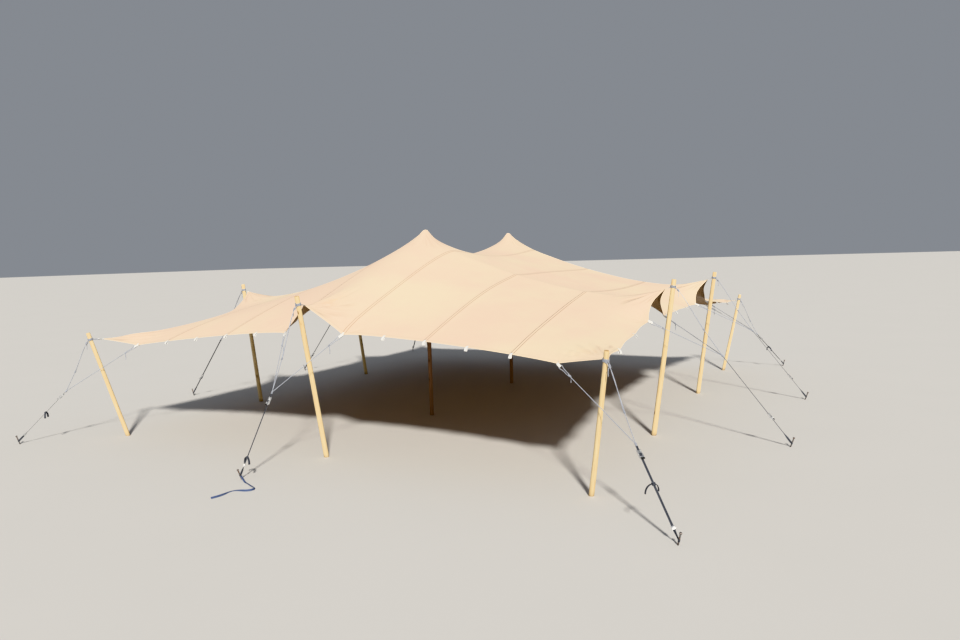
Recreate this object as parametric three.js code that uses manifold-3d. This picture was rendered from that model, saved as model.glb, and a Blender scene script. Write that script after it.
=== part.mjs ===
// A stretch tent: one elastic cloth over two main poles, held out by ten leaning edge poles and their guys.
// Millimetres, +Z up. The origin is on the ground under the middle of the cloth. X runs along the front edge
// and Y from the front to the back. The layout is symmetric about both.
import * as THREE from "three";
import { mergeVertices } from "three/addons/utils/BufferGeometryUtils.js";
import Module from "manifold-3d";

const wasm = await Module();
wasm.setup();

// Driving dimensions

// The cloth is sewn from seven 1500 wide rolls that run along Y. Its webbing tabs are 750 apart across them.
const CLOTH = {
  width: 10500,
  length: 12000,
  thickness: 4,
  tabsAcross: 14,
  tabsAlong: 13,
  cellsPerTab: 2,
};

// Stiffness of the threads across, along and on the bias of the cloth, and of the hem, relative to each other.
// The pitched cloth has stretched past its cut size by the fullness, and the hem's tape is sewn in shorter than it.
const WEAVE = {
  across: 1,
  along: 1,
  bias: 0.3,
  hem: 6,
  fullnessAcross: 0.045,
  fullnessAlong: 0.025,
  fullnessHem: -0.045,
};

// Where the cloth is held, for the quarter with +X and +Y. Beside each corner the side's hem hangs by its own weight.
const HELD = {
  peak: [0, 2200, 4255],
  cornerTip: [5500, 6400, 2090],
  cornerTab: [4650, 6200, 1960],
  cornerHang: [5370, 5400, 2085],
  edgeTip: [0, 6370, 2820],
  edgeTab: [660, 6170, 2300],
  sideTip: [5370, 2300, 2870],
  sideTab: [5200, 620, 2300],
};
const SIDE_POLE_TAB = 4;
const PEAK_ROW = 8;

// How the cloth settles: the share of a thread's pull that a point follows each round, the share of its
// last move that it carries on with, and the rounds after which nothing moves any more.
const RELAXING = { share: 0.1, carry: 0.97, rounds: 3000 };

// Round wooden poles: the middle of the foot and of the head, with the radius at each.
const CORNER_POLE = { foot: [5150, 6200, 0], head: [5560, 6660, 2240], footRadius: 42, headRadius: 38 };
const EDGE_POLE = { foot: [0, 5960, 0], head: [0, 6550, 2990], footRadius: 47, headRadius: 41 };
const SIDE_POLE = { foot: [5130, 2300, 0], head: [5540, 2300, 3050], footRadius: 50, headRadius: 44 };
const MAIN_POLE_RADIUS = 45;
const POLE_SIDES = 12;
const STAKE_SIDES = 8;
const POLE_CHAMFER = 7;
const LASHING_BELOW_HEAD = 140;
const LASHING_HEIGHT = 44;

// Guys: the knot where the ropes meet, and the stake that the strap goes down to.
const CORNER_GUY = { knot: [6020, 6920, 1040], stake: [6700, 7550, 0], ratchetAt: 0.04 };
const EDGE_GUY = { knot: [200, 7050, 1390], stake: [450, 7600, 0], ratchetAt: 0.04 };
const SIDE_GUY = { knot: [6420, 2300, 1620], stake: [7600, 2300, 0], ratchetAt: 0.66 };
const ROPE_RADIUS = 6;
const ROPE_SIDES = 6;
const KNOT = { radius: 17, length: 46 };
const WEBBING = { width: 35, thickness: 3 };
const RATCHET = { length: 150, width: 52, plate: 3, height: 34, spindle: 11 };
const STAKE = { radius: 11, length: 190, headRadius: 17, headLength: 26, lean: 0.34, loopAt: 70 };

// The loose end of the front middle strap: flat webbing that leaves its loop at the stake and lies on the ground.
// The middle of its route, and the steps that it is drawn out in.
const STRAP_TAIL = {
  route: [
    [-443, -7627, 66],
    [-410, -7643, 62],
    [-370, -7661, 46],
    [-325, -7682, 24],
    [-280, -7702, 8],
    [-235, -7723, 2.4],
    [-160, -7757, 2],
    [-60, -7803, 2],
    [40, -7849, 2],
    [115, -7892, 2],
    [158, -7945, 2],
    [150, -8010, 2],
    [96, -8058, 2],
    [20, -8072, 2],
    [-60, -8086, 2],
    [-114, -8132, 2],
    [-125, -8210, 2],
    [-103, -8300, 2],
    [-97, -8390, 2],
    [-112, -8470, 2],
    [-138, -8540, 2],
  ],
  steps: 60,
};

// Webbing tabs sewn to the hem.
const TAB = { width: 44, thickness: 7, overlap: 45, length: 85, droop: 0.9 };

// Faces that meet lie this far apart.
const GAP = 0.3;

const CAP = { radius: 62, skirt: 40, sides: 16, rings: 4 };

// Finishes
const finish = (color, roughness, metalness = 0) => ({ color, roughness, metalness });
const CANOPY_CLOTH = finish(0xe8cdb0, 0.85);
const PALE_WOOD = finish(0xd9b77e, 0.7);
const RUBBER = finish(0x3a3835, 0.8);
const ROPE = finish(0xdedcd2, 0.9);
const STRAP = finish(0x3c4654, 0.8);
const STEEL = finish(0xa9abad, 0.4, 0.9);

// Vectors and solids

const vec = (p) => new THREE.Vector3(...p);
const towards = (from, to, distance) => from.clone().addScaledVector(to.clone().sub(from).normalize(), distance);

// A closed geometry as a solid, with its shared corners merged.
function solidFrom(geometry) {
  const bare = geometry.clone();
  bare.deleteAttribute("normal");
  bare.deleteAttribute("uv");
  const merged = mergeVertices(bare, 1e-3);
  return new wasm.Manifold(
    new wasm.Mesh({
      numProp: 3,
      vertProperties: merged.attributes.position.array,
      triVerts: new Uint32Array(merged.index.array),
    }),
  );
}

const union = (solids) => solids.reduce((all, next) => all.add(next));

function geometryFrom(solid) {
  const mesh = solid.getMesh();
  return new THREE.BufferGeometry()
    .setAttribute("position", new THREE.BufferAttribute(Float32Array.from(mesh.vertProperties), 3))
    .setIndex(new THREE.BufferAttribute(Uint32Array.from(mesh.triVerts), 1));
}

// A matrix that puts a local Z axis along `axis` at `origin`, with local X level.
function frameAt(origin, axis) {
  const z = axis.clone().normalize();
  const up = Math.abs(z.z) > 0.999 ? new THREE.Vector3(0, 1, 0) : new THREE.Vector3(0, 0, 1);
  const x = new THREE.Vector3().crossVectors(up, z).normalize();
  const y = new THREE.Vector3().crossVectors(z, x);
  return new THREE.Matrix4().makeBasis(x, y, z).setPosition(origin);
}

// A round bar from a to b.
function bar(a, b, radius, sides = ROPE_SIDES) {
  const length = a.distanceTo(b);
  return new THREE.CylinderGeometry(radius, radius, length, sides)
    .rotateX(Math.PI / 2)
    .translate(0, 0, length / 2)
    .applyMatrix4(frameAt(a, b.clone().sub(a)));
}

// A box in the local frame of `matrix`: its size and the middle of it.
const block = (size, middle, matrix) => new THREE.BoxGeometry(...size).translate(...middle).applyMatrix4(matrix);

// A tapered round pole from foot to head, whose foot is cut level with the ground.
// `extra` widens it all round, and `past` lengthens it at both ends.
function poleGeometry(foot, head, footRadius, headRadius, extra = 0, past = 0, sides = POLE_SIDES) {
  const axis = head.clone().sub(foot).normalize();
  const matrix = frameAt(foot, axis);
  const length = foot.distanceTo(head);
  const chamfer = past ? 0 : POLE_CHAMFER;
  const rings = [
    { at: -past, radius: footRadius + extra, level: !past },
    { at: length + past - chamfer, radius: headRadius + extra },
  ];
  if (chamfer) rings.push({ at: length, radius: headRadius - chamfer });
  const points = [];
  for (const ring of rings) {
    for (let k = 0; k < sides; k++) {
      const turn = (2 * Math.PI * k) / sides;
      const p = new THREE.Vector3(ring.radius * Math.cos(turn), ring.radius * Math.sin(turn), ring.at);
      p.applyMatrix4(matrix);
      if (ring.level) p.addScaledVector(axis, -p.z / axis.z);
      points.push(p);
    }
  }
  const faces = [];
  for (let r = 0; r + 1 < rings.length; r++) {
    for (let k = 0; k < sides; k++) {
      const a = r * sides + k;
      const b = r * sides + ((k + 1) % sides);
      faces.push(a, b, b + sides, a, b + sides, a + sides);
    }
  }
  const top = (rings.length - 1) * sides;
  for (let k = 1; k + 1 < sides; k++) {
    faces.push(0, k + 1, k, top, top + k, top + k + 1);
  }
  return new THREE.BufferGeometry().setFromPoints(points).setIndex(faces);
}

// The cloth

const ACROSS = CLOTH.tabsAcross * CLOTH.cellsPerTab;
const ALONG = CLOTH.tabsAlong * CLOTH.cellsPerTab;
const at = (i, j) => i * (ALONG + 1) + j;

// The points where poles and ropes hold the cloth, as grid places with their positions.
function heldPoints() {
  const held = new Map();
  const cells = CLOTH.cellsPerTab;
  const middle = ACROSS / 2;
  for (const sx of [-1, 1]) {
    for (const sy of [-1, 1]) {
      const hold = (i, j, [x, y, z]) => held.set(at(i, j), new THREE.Vector3(sx * x, sy * y, z));
      const side = sx < 0 ? 0 : ACROSS;
      const end = sy < 0 ? 0 : ALONG;
      const sideRow = sy < 0 ? SIDE_POLE_TAB * cells : ALONG - SIDE_POLE_TAB * cells;
      hold(side, end, HELD.cornerTip);
      hold(side - sx * cells, end, HELD.cornerTab);
      hold(side, end - sy * cells, HELD.cornerHang);
      hold(middle, end, HELD.edgeTip);
      hold(middle + sx * cells, end, HELD.edgeTab);
      hold(side, sideRow, HELD.sideTip);
      for (const way of [-1, 1]) {
        const [x, spacing, z] = HELD.sideTab;
        hold(side, sideRow + sy * way * cells, [x, HELD.sideTip[1] + way * spacing, z]);
      }
      hold(middle, sy < 0 ? PEAK_ROW : ALONG - PEAK_ROW, HELD.peak);
    }
  }
  return held;
}

// The threads between grid points: [one end, other end, cut length, stiffness].
function threads() {
  const list = [];
  const stepX = CLOTH.width / ACROSS;
  const stepY = CLOTH.length / ALONG;
  for (let i = 0; i <= ACROSS; i++) {
    for (let j = 0; j <= ALONG; j++) {
      const onSide = i === 0 || i === ACROSS;
      const onEnd = j === 0 || j === ALONG;
      if (i < ACROSS) {
        const cut = stepX * (1 + (onEnd ? WEAVE.fullnessHem : WEAVE.fullnessAcross));
        list.push([at(i, j), at(i + 1, j), cut, onEnd ? WEAVE.across / 2 + WEAVE.hem : WEAVE.across]);
      }
      if (j < ALONG) {
        const cut = stepY * (1 + (onSide ? WEAVE.fullnessHem : WEAVE.fullnessAlong));
        list.push([at(i, j), at(i, j + 1), cut, onSide ? WEAVE.along / 2 + WEAVE.hem : WEAVE.along]);
      }
      if (i < ACROSS && j < ALONG) {
        const bias = Math.hypot(stepX, stepY);
        list.push([at(i, j), at(i + 1, j + 1), bias, WEAVE.bias]);
        list.push([at(i + 1, j), at(i, j + 1), bias, WEAVE.bias]);
      }
    }
  }
  return list;
}

// Lets the net pull itself still between the points that hold it. A thread pulls, and never pushes.
function relaxedCloth(held) {
  const points = [];
  for (let i = 0; i <= ACROSS; i++) {
    for (let j = 0; j <= ALONG; j++) {
      const start = new THREE.Vector3(
        (i / ACROSS - 0.5) * CLOTH.width,
        (j / ALONG - 0.5) * CLOTH.length,
        HELD.edgeTip[2],
      );
      points.push(held.get(at(i, j))?.clone() ?? start);
    }
  }
  const net = threads();
  const stiffest = 2 * (WEAVE.across + WEAVE.along + WEAVE.bias + WEAVE.hem);
  const step = (RELAXING.share / stiffest) * 1000;
  const speeds = points.map(() => new THREE.Vector3());
  const pulls = points.map(() => new THREE.Vector3());
  const along = new THREE.Vector3();
  for (let round = 0; round < RELAXING.rounds; round++) {
    for (const pull of pulls) pull.set(0, 0, 0);
    for (const [a, b, cut, stiffness] of net) {
      along.subVectors(points[b], points[a]);
      const length = along.length();
      if (length <= cut) continue;
      along.multiplyScalar((stiffness * (length - cut)) / (cut * length));
      pulls[a].add(along);
      pulls[b].sub(along);
    }
    points.forEach((point, n) => {
      if (held.has(n)) return;
      speeds[n].multiplyScalar(RELAXING.carry).addScaledVector(pulls[n], step);
      point.add(speeds[n]);
    });
  }
  return points;
}

const HELD_POINTS = heldPoints();
const SHEET = relaxedCloth(HELD_POINTS);
const sheetAt = (i, j) =>
  SHEET[at(Math.min(Math.max(i, 0), ACROSS), Math.min(Math.max(j, 0), ALONG))];

function sheetNormal(i, j) {
  const across = sheetAt(i + 1, j).clone().sub(sheetAt(i - 1, j));
  const along = sheetAt(i, j + 1).clone().sub(sheetAt(i, j - 1));
  return across.cross(along).normalize();
}

// The cloth as a closed sheet: its upper and lower faces, joined all round the edge.
function sheetGeometry() {
  const half = CLOTH.thickness / 2;
  const points = [];
  for (const side of [1, -1]) {
    for (let i = 0; i <= ACROSS; i++) {
      for (let j = 0; j <= ALONG; j++) {
        points.push(sheetAt(i, j).clone().addScaledVector(sheetNormal(i, j), side * half));
      }
    }
  }
  const under = (ACROSS + 1) * (ALONG + 1);
  const faces = [];
  for (let i = 0; i < ACROSS; i++) {
    for (let j = 0; j < ALONG; j++) {
      const [a, b, c, d] = [at(i, j), at(i + 1, j), at(i + 1, j + 1), at(i, j + 1)];
      // Each cell folds along the diagonal that stands higher, as tight cloth does over a peak.
      const rising = SHEET[a].z + SHEET[c].z >= SHEET[b].z + SHEET[d].z;
      const quads = rising ? [a, b, c, a, c, d] : [a, b, d, b, c, d];
      faces.push(...quads);
      for (let k = 0; k < 6; k += 3) {
        faces.push(quads[k] + under, quads[k + 2] + under, quads[k + 1] + under);
      }
    }
  }
  const rim = [];
  for (let i = 0; i < ACROSS; i++) rim.push(at(i, 0));
  for (let j = 0; j < ALONG; j++) rim.push(at(ACROSS, j));
  for (let i = ACROSS; i > 0; i--) rim.push(at(i, ALONG));
  for (let j = ALONG; j > 0; j--) rim.push(at(0, j));
  rim.forEach((a, n) => {
    const b = rim[(n + 1) % rim.length];
    faces.push(a, a + under, b + under, a, b + under, b);
  });
  return new THREE.BufferGeometry().setFromPoints(points).setIndex(faces);
}

// Tabs, poles and guys

// Every tab's grid place round the cloth.
function tabPlaces() {
  const cells = CLOTH.cellsPerTab;
  const places = [];
  for (let i = 0; i <= ACROSS; i += cells) places.push([i, 0], [i, ALONG]);
  for (let j = cells; j < ALONG; j += cells) places.push([0, j], [ACROSS, j]);
  return places;
}

// The way out of the cloth at a place on its edge, in the cloth's own surface.
function outAt(i, j) {
  const inward = sheetAt(
    i === 0 ? 1 : i === ACROSS ? ACROSS - 1 : i,
    j === 0 ? 1 : j === ALONG ? ALONG - 1 : j,
  );
  return sheetAt(i, j).clone().sub(inward).normalize();
}

// A free tab's loop points out and down.
const hanging = (out) => new THREE.Vector3(out.x, out.y, out.z - TAB.droop).normalize();

// A tied tab's loop points straight at what its rope goes to.
const tabTargets = new Map();
const tabEnd = (place) => towards(SHEET[place], tabTargets.get(place), TAB.length);

// One tab: a ply sewn on the edge, and the loop that leaves it.
function tabSolid(i, j) {
  const place = at(i, j);
  const root = SHEET[place];
  const out = outAt(i, j);
  const direction = tabTargets.has(place)
    ? tabTargets.get(place).clone().sub(root).normalize()
    : hanging(out);
  const sewn = [TAB.width, TAB.thickness, TAB.overlap + TAB.thickness];
  const loop = [TAB.width, TAB.thickness, TAB.length];
  const sewnMiddle = (TAB.thickness - TAB.overlap) / 2;
  return union([
    solidFrom(block(sewn, [0, 0, sewnMiddle], frameAt(root, out))),
    solidFrom(block(loop, [0, 0, TAB.length / 2], frameAt(root, direction))),
  ]);
}

// One edge pole with its lashing, ropes, strap and stake. `signs` mirrors the +X +Y quarter's sizes.
function edgeStation(name, signs, pole, guy, places) {
  const mirrored = (p) => new THREE.Vector3(signs[0] * p[0], signs[1] * p[1], p[2]);
  const foot = mirrored(pole.foot);
  const head = mirrored(pole.head);
  const knot = mirrored(guy.knot);
  const stakeFoot = mirrored(guy.stake);
  const axis = head.clone().sub(foot).normalize();
  const lashing = head.clone().addScaledVector(axis, -LASHING_BELOW_HEAD);
  const [tip, ...neighbours] = places;
  tabTargets.set(tip, lashing);
  for (const place of neighbours) tabTargets.set(place, knot);
  return { name, pole, foot, head, axis, lashing, knot, stakeFoot, tip, neighbours, ratchetAt: guy.ratchetAt };
}

function stations() {
  const cells = CLOTH.cellsPerTab;
  const list = [];
  for (const [sx, across] of [[-1, "left"], [1, "right"]]) {
    for (const [sy, along] of [[-1, "front"], [1, "back"]]) {
      const side = sx < 0 ? 0 : ACROSS;
      const end = sy < 0 ? 0 : ALONG;
      const row = sy < 0 ? SIDE_POLE_TAB * cells : ALONG - SIDE_POLE_TAB * cells;
      const corner = [at(side, end), at(side - sx * cells, end)];
      const flank = [at(side, row), at(side, row - cells), at(side, row + cells)];
      list.push(edgeStation(`corner_${along}_${across}`, [sx, sy], CORNER_POLE, CORNER_GUY, corner));
      list.push(edgeStation(`side_${along}_${across}`, [sx, sy], SIDE_POLE, SIDE_GUY, flank));
    }
  }
  for (const [sy, along] of [[-1, "front"], [1, "back"]]) {
    const middle = ACROSS / 2;
    const end = sy < 0 ? 0 : ALONG;
    const edge = [at(middle, end), at(middle - cells, end), at(middle + cells, end)];
    list.push(edgeStation(`middle_${along}`, [sy, sy], EDGE_POLE, EDGE_GUY, edge));
  }
  return list;
}

// The radius of a pole at a distance from its foot.
function radiusAt({ pole, foot, head }, distance) {
  const share = distance / foot.distanceTo(head);
  return pole.footRadius + (pole.headRadius - pole.footRadius) * share;
}

// The rope turns round the pole's head, the short tie to the cloth's tip, and the ropes from the turns and
// from the tabs beside the tip to the knot.
function ropesSolid(station) {
  const { pole, foot, head, axis, lashing, knot, stakeFoot, tip, neighbours } = station;
  const half = LASHING_HEIGHT / 2;
  const outer = radiusAt(station, foot.distanceTo(lashing)) + 2 * ROPE_RADIUS;
  const turns = bar(
    lashing.clone().addScaledVector(axis, -half),
    lashing.clone().addScaledVector(axis, half),
    outer,
    POLE_SIDES,
  );
  const outward = knot.clone().sub(lashing).projectOnPlane(axis).normalize();
  const onTurns = lashing.clone().addScaledVector(outward, outer - ROPE_RADIUS);
  const tie = bar(towards(tabEnd(tip), lashing, GAP), lashing, ROPE_RADIUS);
  const pieces = [turns, tie, bar(onTurns, knot, ROPE_RADIUS)];
  for (const place of neighbours) {
    pieces.push(bar(towards(tabEnd(place), knot, GAP), knot, ROPE_RADIUS));
  }
  const knotStart = towards(knot, stakeFoot, -KNOT.length / 3);
  pieces.push(bar(knotStart, towards(knotStart, stakeFoot, KNOT.length), KNOT.radius));
  const clearance = poleGeometry(foot, head, pole.footRadius, pole.headRadius, GAP, 60);
  return union(pieces.map(solidFrom)).subtract(solidFrom(clearance));
}

// The stake's axis leans away from its guy.
function stakeAxis({ knot, stakeFoot }) {
  const away = stakeFoot.clone().sub(knot).setZ(0).normalize();
  return new THREE.Vector3(away.x * STAKE.lean, away.y * STAKE.lean, 1).normalize();
}

function stakeGeometry(station, extra = 0, past = 0) {
  const axis = stakeAxis(station);
  const top = station.stakeFoot.clone().addScaledVector(axis, STAKE.length);
  return poleGeometry(station.stakeFoot, top, STAKE.radius, STAKE.radius, extra, past, STAKE_SIDES);
}

function stakeSolid(station) {
  const axis = stakeAxis(station);
  const neck = station.stakeFoot.clone().addScaledVector(axis, STAKE.length - STAKE.headLength);
  const top = neck.clone().addScaledVector(axis, STAKE.headLength);
  return solidFrom(stakeGeometry(station)).add(solidFrom(bar(neck, top, STAKE.headRadius, STAKE_SIDES)));
}

// The ratchet's frame, spindle and folded handle, in a frame whose Z runs down the strap.
function ratchetSolids(matrix, from) {
  const { length, width, plate, height, spindle } = RATCHET;
  const middle = from + length / 2;
  const cheek = (side) => block([plate, height, length], [(side * width) / 2, 0, middle], matrix);
  const base = block([width, plate, length * 0.7], [0, -height / 4, from + length * 0.4], matrix);
  const grip = block([width + plate, plate * 2.5, length * 0.32], [0, height / 2, from + length * 0.84], matrix);
  const drum = new THREE.CylinderGeometry(spindle, spindle, width, STAKE_SIDES)
    .rotateZ(Math.PI / 2)
    .translate(0, 0, middle)
    .applyMatrix4(matrix);
  return [cheek(-1), cheek(1), base, grip, drum];
}

// The webbing from the knot to the stake, with its ratchet, and the loop that goes round the stake.
function strapSolid(station) {
  const { knot, stakeFoot, ratchetAt } = station;
  const axis = stakeAxis(station);
  const loop = stakeFoot.clone().addScaledVector(axis, STAKE.loopAt);
  const knotEnd = towards(towards(knot, stakeFoot, -KNOT.length / 3), stakeFoot, KNOT.length);
  const start = knotEnd.clone().addScaledVector(stakeFoot.clone().sub(knot).normalize(), GAP);
  const matrix = frameAt(start, loop.clone().sub(start));
  const length = start.distanceTo(loop);
  const webbing = block([WEBBING.width, WEBBING.thickness, length], [0, 0, length / 2], matrix);
  const half = WEBBING.width / 2;
  const collar = bar(
    loop.clone().addScaledVector(axis, -half),
    loop.clone().addScaledVector(axis, half),
    STAKE.radius + WEBBING.thickness + 1,
    STAKE_SIDES,
  );
  const pieces = [webbing, collar, ...ratchetSolids(matrix, length * ratchetAt)].map(solidFrom);
  return union(pieces).subtract(solidFrom(stakeGeometry(station, GAP, 40)));
}

// A length of loose webbing along a route, with its long edges eased.
function webbingGeometry({ route, steps }) {
  const half = WEBBING.width / 2;
  const thin = WEBBING.thickness / 2;
  const eased = thin / 2;
  const section = new THREE.Shape([
    new THREE.Vector2(-thin, -half + eased),
    new THREE.Vector2(-thin + eased, -half),
    new THREE.Vector2(thin - eased, -half),
    new THREE.Vector2(thin, -half + eased),
    new THREE.Vector2(thin, half - eased),
    new THREE.Vector2(thin - eased, half),
    new THREE.Vector2(-thin + eased, half),
    new THREE.Vector2(-thin, half - eased),
  ]);
  const extrudePath = new THREE.CatmullRomCurve3(route.map(vec), false, "centripetal");
  return new THREE.ExtrudeGeometry(section, { extrudePath, steps, bevelEnabled: false });
}

// The main poles stand upright under the peaks, and a rounded cap on each carries the cloth.
function capProfile() {
  const points = [new THREE.Vector2(0, -CAP.skirt), new THREE.Vector2(CAP.radius, -CAP.skirt)];
  for (let k = 0; k <= CAP.rings; k++) {
    const turn = (k / CAP.rings) * (Math.PI / 2);
    points.push(new THREE.Vector2(CAP.radius * Math.cos(turn), CAP.radius * Math.sin(turn)));
  }
  points[points.length - 1].x = 0;
  return points;
}

// How high the cap's middle goes so that it just clears the cloth over it, whose facets all meet at the peak.
function capHeight(cap, i, j) {
  const peak = sheetAt(i, j);
  const ring = [[1, 0], [1, 1], [0, 1], [-1, 1], [-1, 0], [-1, -1], [0, -1], [1, -1]];
  const corners = ring.map(([di, dj]) => sheetAt(i + di, j + dj).clone().sub(peak));
  const position = cap.getAttribute("position");
  let height = Infinity;
  corners.forEach((corner, n) => {
    const normal = corner.clone().cross(corners[(n + 1) % corners.length]).normalize();
    for (let k = 0; k < position.count; k++) {
      const below = new THREE.Vector3().fromBufferAttribute(position, k).dot(normal);
      height = Math.min(height, peak.z - (below + CLOTH.thickness / 2 + GAP) / normal.z);
    }
  });
  return height;
}

// Assembly

const tent = new THREE.Group();

function addMesh(group, name, geometry, look) {
  const mesh = new THREE.Mesh(geometry, new THREE.MeshStandardMaterial(look));
  mesh.name = name;
  group.add(mesh);
}

const edgeStations = stations();

const tabs = tabPlaces().map(([i, j]) => tabSolid(i, j));
addMesh(tent, "canopy", geometryFrom(union([solidFrom(sheetGeometry()), ...tabs])), CANOPY_CLOTH);

for (const [sy, along] of [[-1, "front"], [1, "back"]]) {
  const row = sy < 0 ? PEAK_ROW : ALONG - PEAK_ROW;
  const station = new THREE.Group();
  station.position.set(0, sy * HELD.peak[1], 0);
  const cap = new THREE.LatheGeometry(capProfile(), CAP.sides).rotateX(Math.PI / 2);
  const height = capHeight(cap, ACROSS / 2, row);
  const poleTop = height - CAP.skirt - GAP;
  const pole = poleGeometry(vec([0, 0, 0]), vec([0, 0, poleTop]), MAIN_POLE_RADIUS, MAIN_POLE_RADIUS);
  addMesh(station, `main_pole_${along}`, pole, PALE_WOOD);
  addMesh(station, `main_pole_cap_${along}`, cap.translate(0, 0, height), RUBBER);
  tent.add(station);
}

for (const station of edgeStations) {
  const { name, pole, foot, head } = station;
  const group = new THREE.Group();
  addMesh(group, `${name}_pole`, poleGeometry(foot, head, pole.footRadius, pole.headRadius), PALE_WOOD);
  addMesh(group, `${name}_ropes`, geometryFrom(ropesSolid(station)), ROPE);
  addMesh(group, `${name}_strap`, geometryFrom(strapSolid(station)), STRAP);
  addMesh(group, `${name}_stake`, geometryFrom(stakeSolid(station)), STEEL);
  tent.add(group);
}

addMesh(tent, "middle_front_strap_tail", webbingGeometry(STRAP_TAIL), STRAP);

export default tent;
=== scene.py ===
"""The looks of a stretch tent: an elastic cloth over two main poles and ten leaning, guyed edge poles.

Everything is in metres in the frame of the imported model: X along the front edge, Y from front to back, Z up.
"""

import logging
import math
from collections.abc import Callable, Iterator, Sequence
from contextlib import contextmanager
from dataclasses import dataclass, field, replace
from enum import Enum

import bmesh
import bpy
import numpy as np
from mathutils import Matrix, Vector, noise


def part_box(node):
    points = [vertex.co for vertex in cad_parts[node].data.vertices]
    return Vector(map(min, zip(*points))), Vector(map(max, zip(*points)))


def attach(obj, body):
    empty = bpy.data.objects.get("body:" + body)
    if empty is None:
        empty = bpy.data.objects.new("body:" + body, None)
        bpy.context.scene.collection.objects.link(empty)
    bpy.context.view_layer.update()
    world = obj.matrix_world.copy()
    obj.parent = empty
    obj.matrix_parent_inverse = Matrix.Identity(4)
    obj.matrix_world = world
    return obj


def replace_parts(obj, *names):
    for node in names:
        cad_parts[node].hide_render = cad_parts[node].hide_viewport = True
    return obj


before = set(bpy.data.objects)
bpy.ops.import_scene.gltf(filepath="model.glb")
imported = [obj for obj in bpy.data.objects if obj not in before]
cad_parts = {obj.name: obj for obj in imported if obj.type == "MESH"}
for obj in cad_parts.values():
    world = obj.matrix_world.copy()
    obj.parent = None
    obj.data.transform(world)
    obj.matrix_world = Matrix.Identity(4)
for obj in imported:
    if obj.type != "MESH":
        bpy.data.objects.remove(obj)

LOG = logging.getLogger("stretch_tent")
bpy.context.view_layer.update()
BODY = "root"

# The flat cloth, which the net, the sheet and its finish all measure.
CLOTH_WIDTH = 10.5
CLOTH_LENGTH = 12.0
ROLL = 1.5
WELD_OVERLAP = 0.045
HEM = 0.05
PATCH_RADIUS = 0.26
SEAMS_END_BEFORE_SIDE = 0.2
STRAP_WIDTH = 0.035

Array = np.ndarray
Piece = bpy.types.Object
Socket = bpy.types.NodeSocket
Material = bpy.types.Material
Colour = tuple[float, float, float]
Point = tuple[float, float, float]
UP = np.array([0.0, 0.0, 1.0])
QUARTERS = ((-1, -1), (-1, 1), (1, -1), (1, 1))


def unit(directions: Array) -> Array:
    """Returns one direction, or each row of them, at length one."""
    return directions / np.linalg.norm(directions, axis=-1, keepdims=True)


def square_to(directions: Array, axes: Array) -> Array:
    """Returns the parts of directions that are square to their axes, at length one."""
    return unit(directions - axes * (directions * axes).sum(-1, keepdims=True))


def eased(value: Array, start: float, end: float) -> Array:
    """Returns how far values are from a start to an end, as a share that begins and stops softly."""
    share = np.clip((value - start) / (end - start), 0, 1)
    return share * share * (3 - 2 * share)


def points_from(origin: Array, *parts: tuple[Array, Array]) -> Array:
    """Returns points that lie off an origin by parts: how far each point goes, and in which direction."""
    return origin + sum(np.outer(far, way) for far, way in parts)


def basis(origin: Array, axis: Array) -> Matrix:
    """Makes a matrix whose Z runs along an axis, with its X level.

    Args:
        origin: Where local zero goes.
        axis: The way that local Z points.

    Returns:
        The matrix from local to the tent's frame.
    """
    z = unit(np.asarray(axis, float))
    x = unit(np.cross([0.0, 1.0, 0.0] if abs(z[2]) > 0.999 else UP, z))
    matrix = Matrix(np.column_stack([x, np.cross(z, x), z]).tolist()).to_4x4()
    matrix.translation = Vector(origin)
    return matrix


def across_frame(across: Array, along: Array) -> Matrix:
    """Returns the turn that lays a part's X across and its Z along two directions."""
    z = unit(along)
    x = square_to(across, z)
    return Matrix(np.array([x, np.cross(z, x), z]).T.tolist()).to_4x4()


def smooth_route(points: Sequence[Point], spacing: float) -> Array:
    """Draws a centripetal curve through points and steps evenly along it.

    Args:
        points: The points that the curve goes through.
        spacing: About how far apart the steps lie.

    Returns:
        The steps, one row each, from the first point to the last.
    """
    fine = given = np.asarray(points, float)
    if len(given) > 2:
        ends = np.vstack([2 * given[0] - given[1], given, 2 * given[-1] - given[-2]])
        pieces = []
        for n in range(len(given) - 1):
            rows = list(ends[n : n + 4])
            at = np.cumsum([0.0, *(np.sqrt(np.linalg.norm(b - a)) for a, b in zip(rows, rows[1:]))])
            t = np.linspace(at[1], at[2], 24, endpoint=False)[:, None]
            for spans in (((0, 1), (1, 2), (2, 3)), ((0, 2), (1, 3)), ((1, 2),)):
                rows = [
                    ((at[b] - t) * rows[k] + (t - at[a]) * rows[k + 1]) / (at[b] - at[a])
                    for k, (a, b) in enumerate(spans)
                ]
            pieces.append(rows[0])
        fine = np.vstack([*pieces, given[-1:]])
    lengths = np.concatenate([[0], np.cumsum(np.linalg.norm(np.diff(fine, axis=0), axis=1))])
    wanted = np.linspace(0, lengths[-1], max(2, round(lengths[-1] / spacing) + 1))
    return np.column_stack([np.interp(wanted, lengths, fine[:, k]) for k in range(3)])


def route_length(route: Array) -> float:
    """Returns the length of a route."""
    return float(np.linalg.norm(np.diff(route, axis=0), axis=1).sum())


def metres_along(route: Array) -> Array:
    """Returns how far along an evenly stepped route each of its steps is."""
    return np.arange(len(route)) * route_length(route) / max(1, len(route) - 1)


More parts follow.
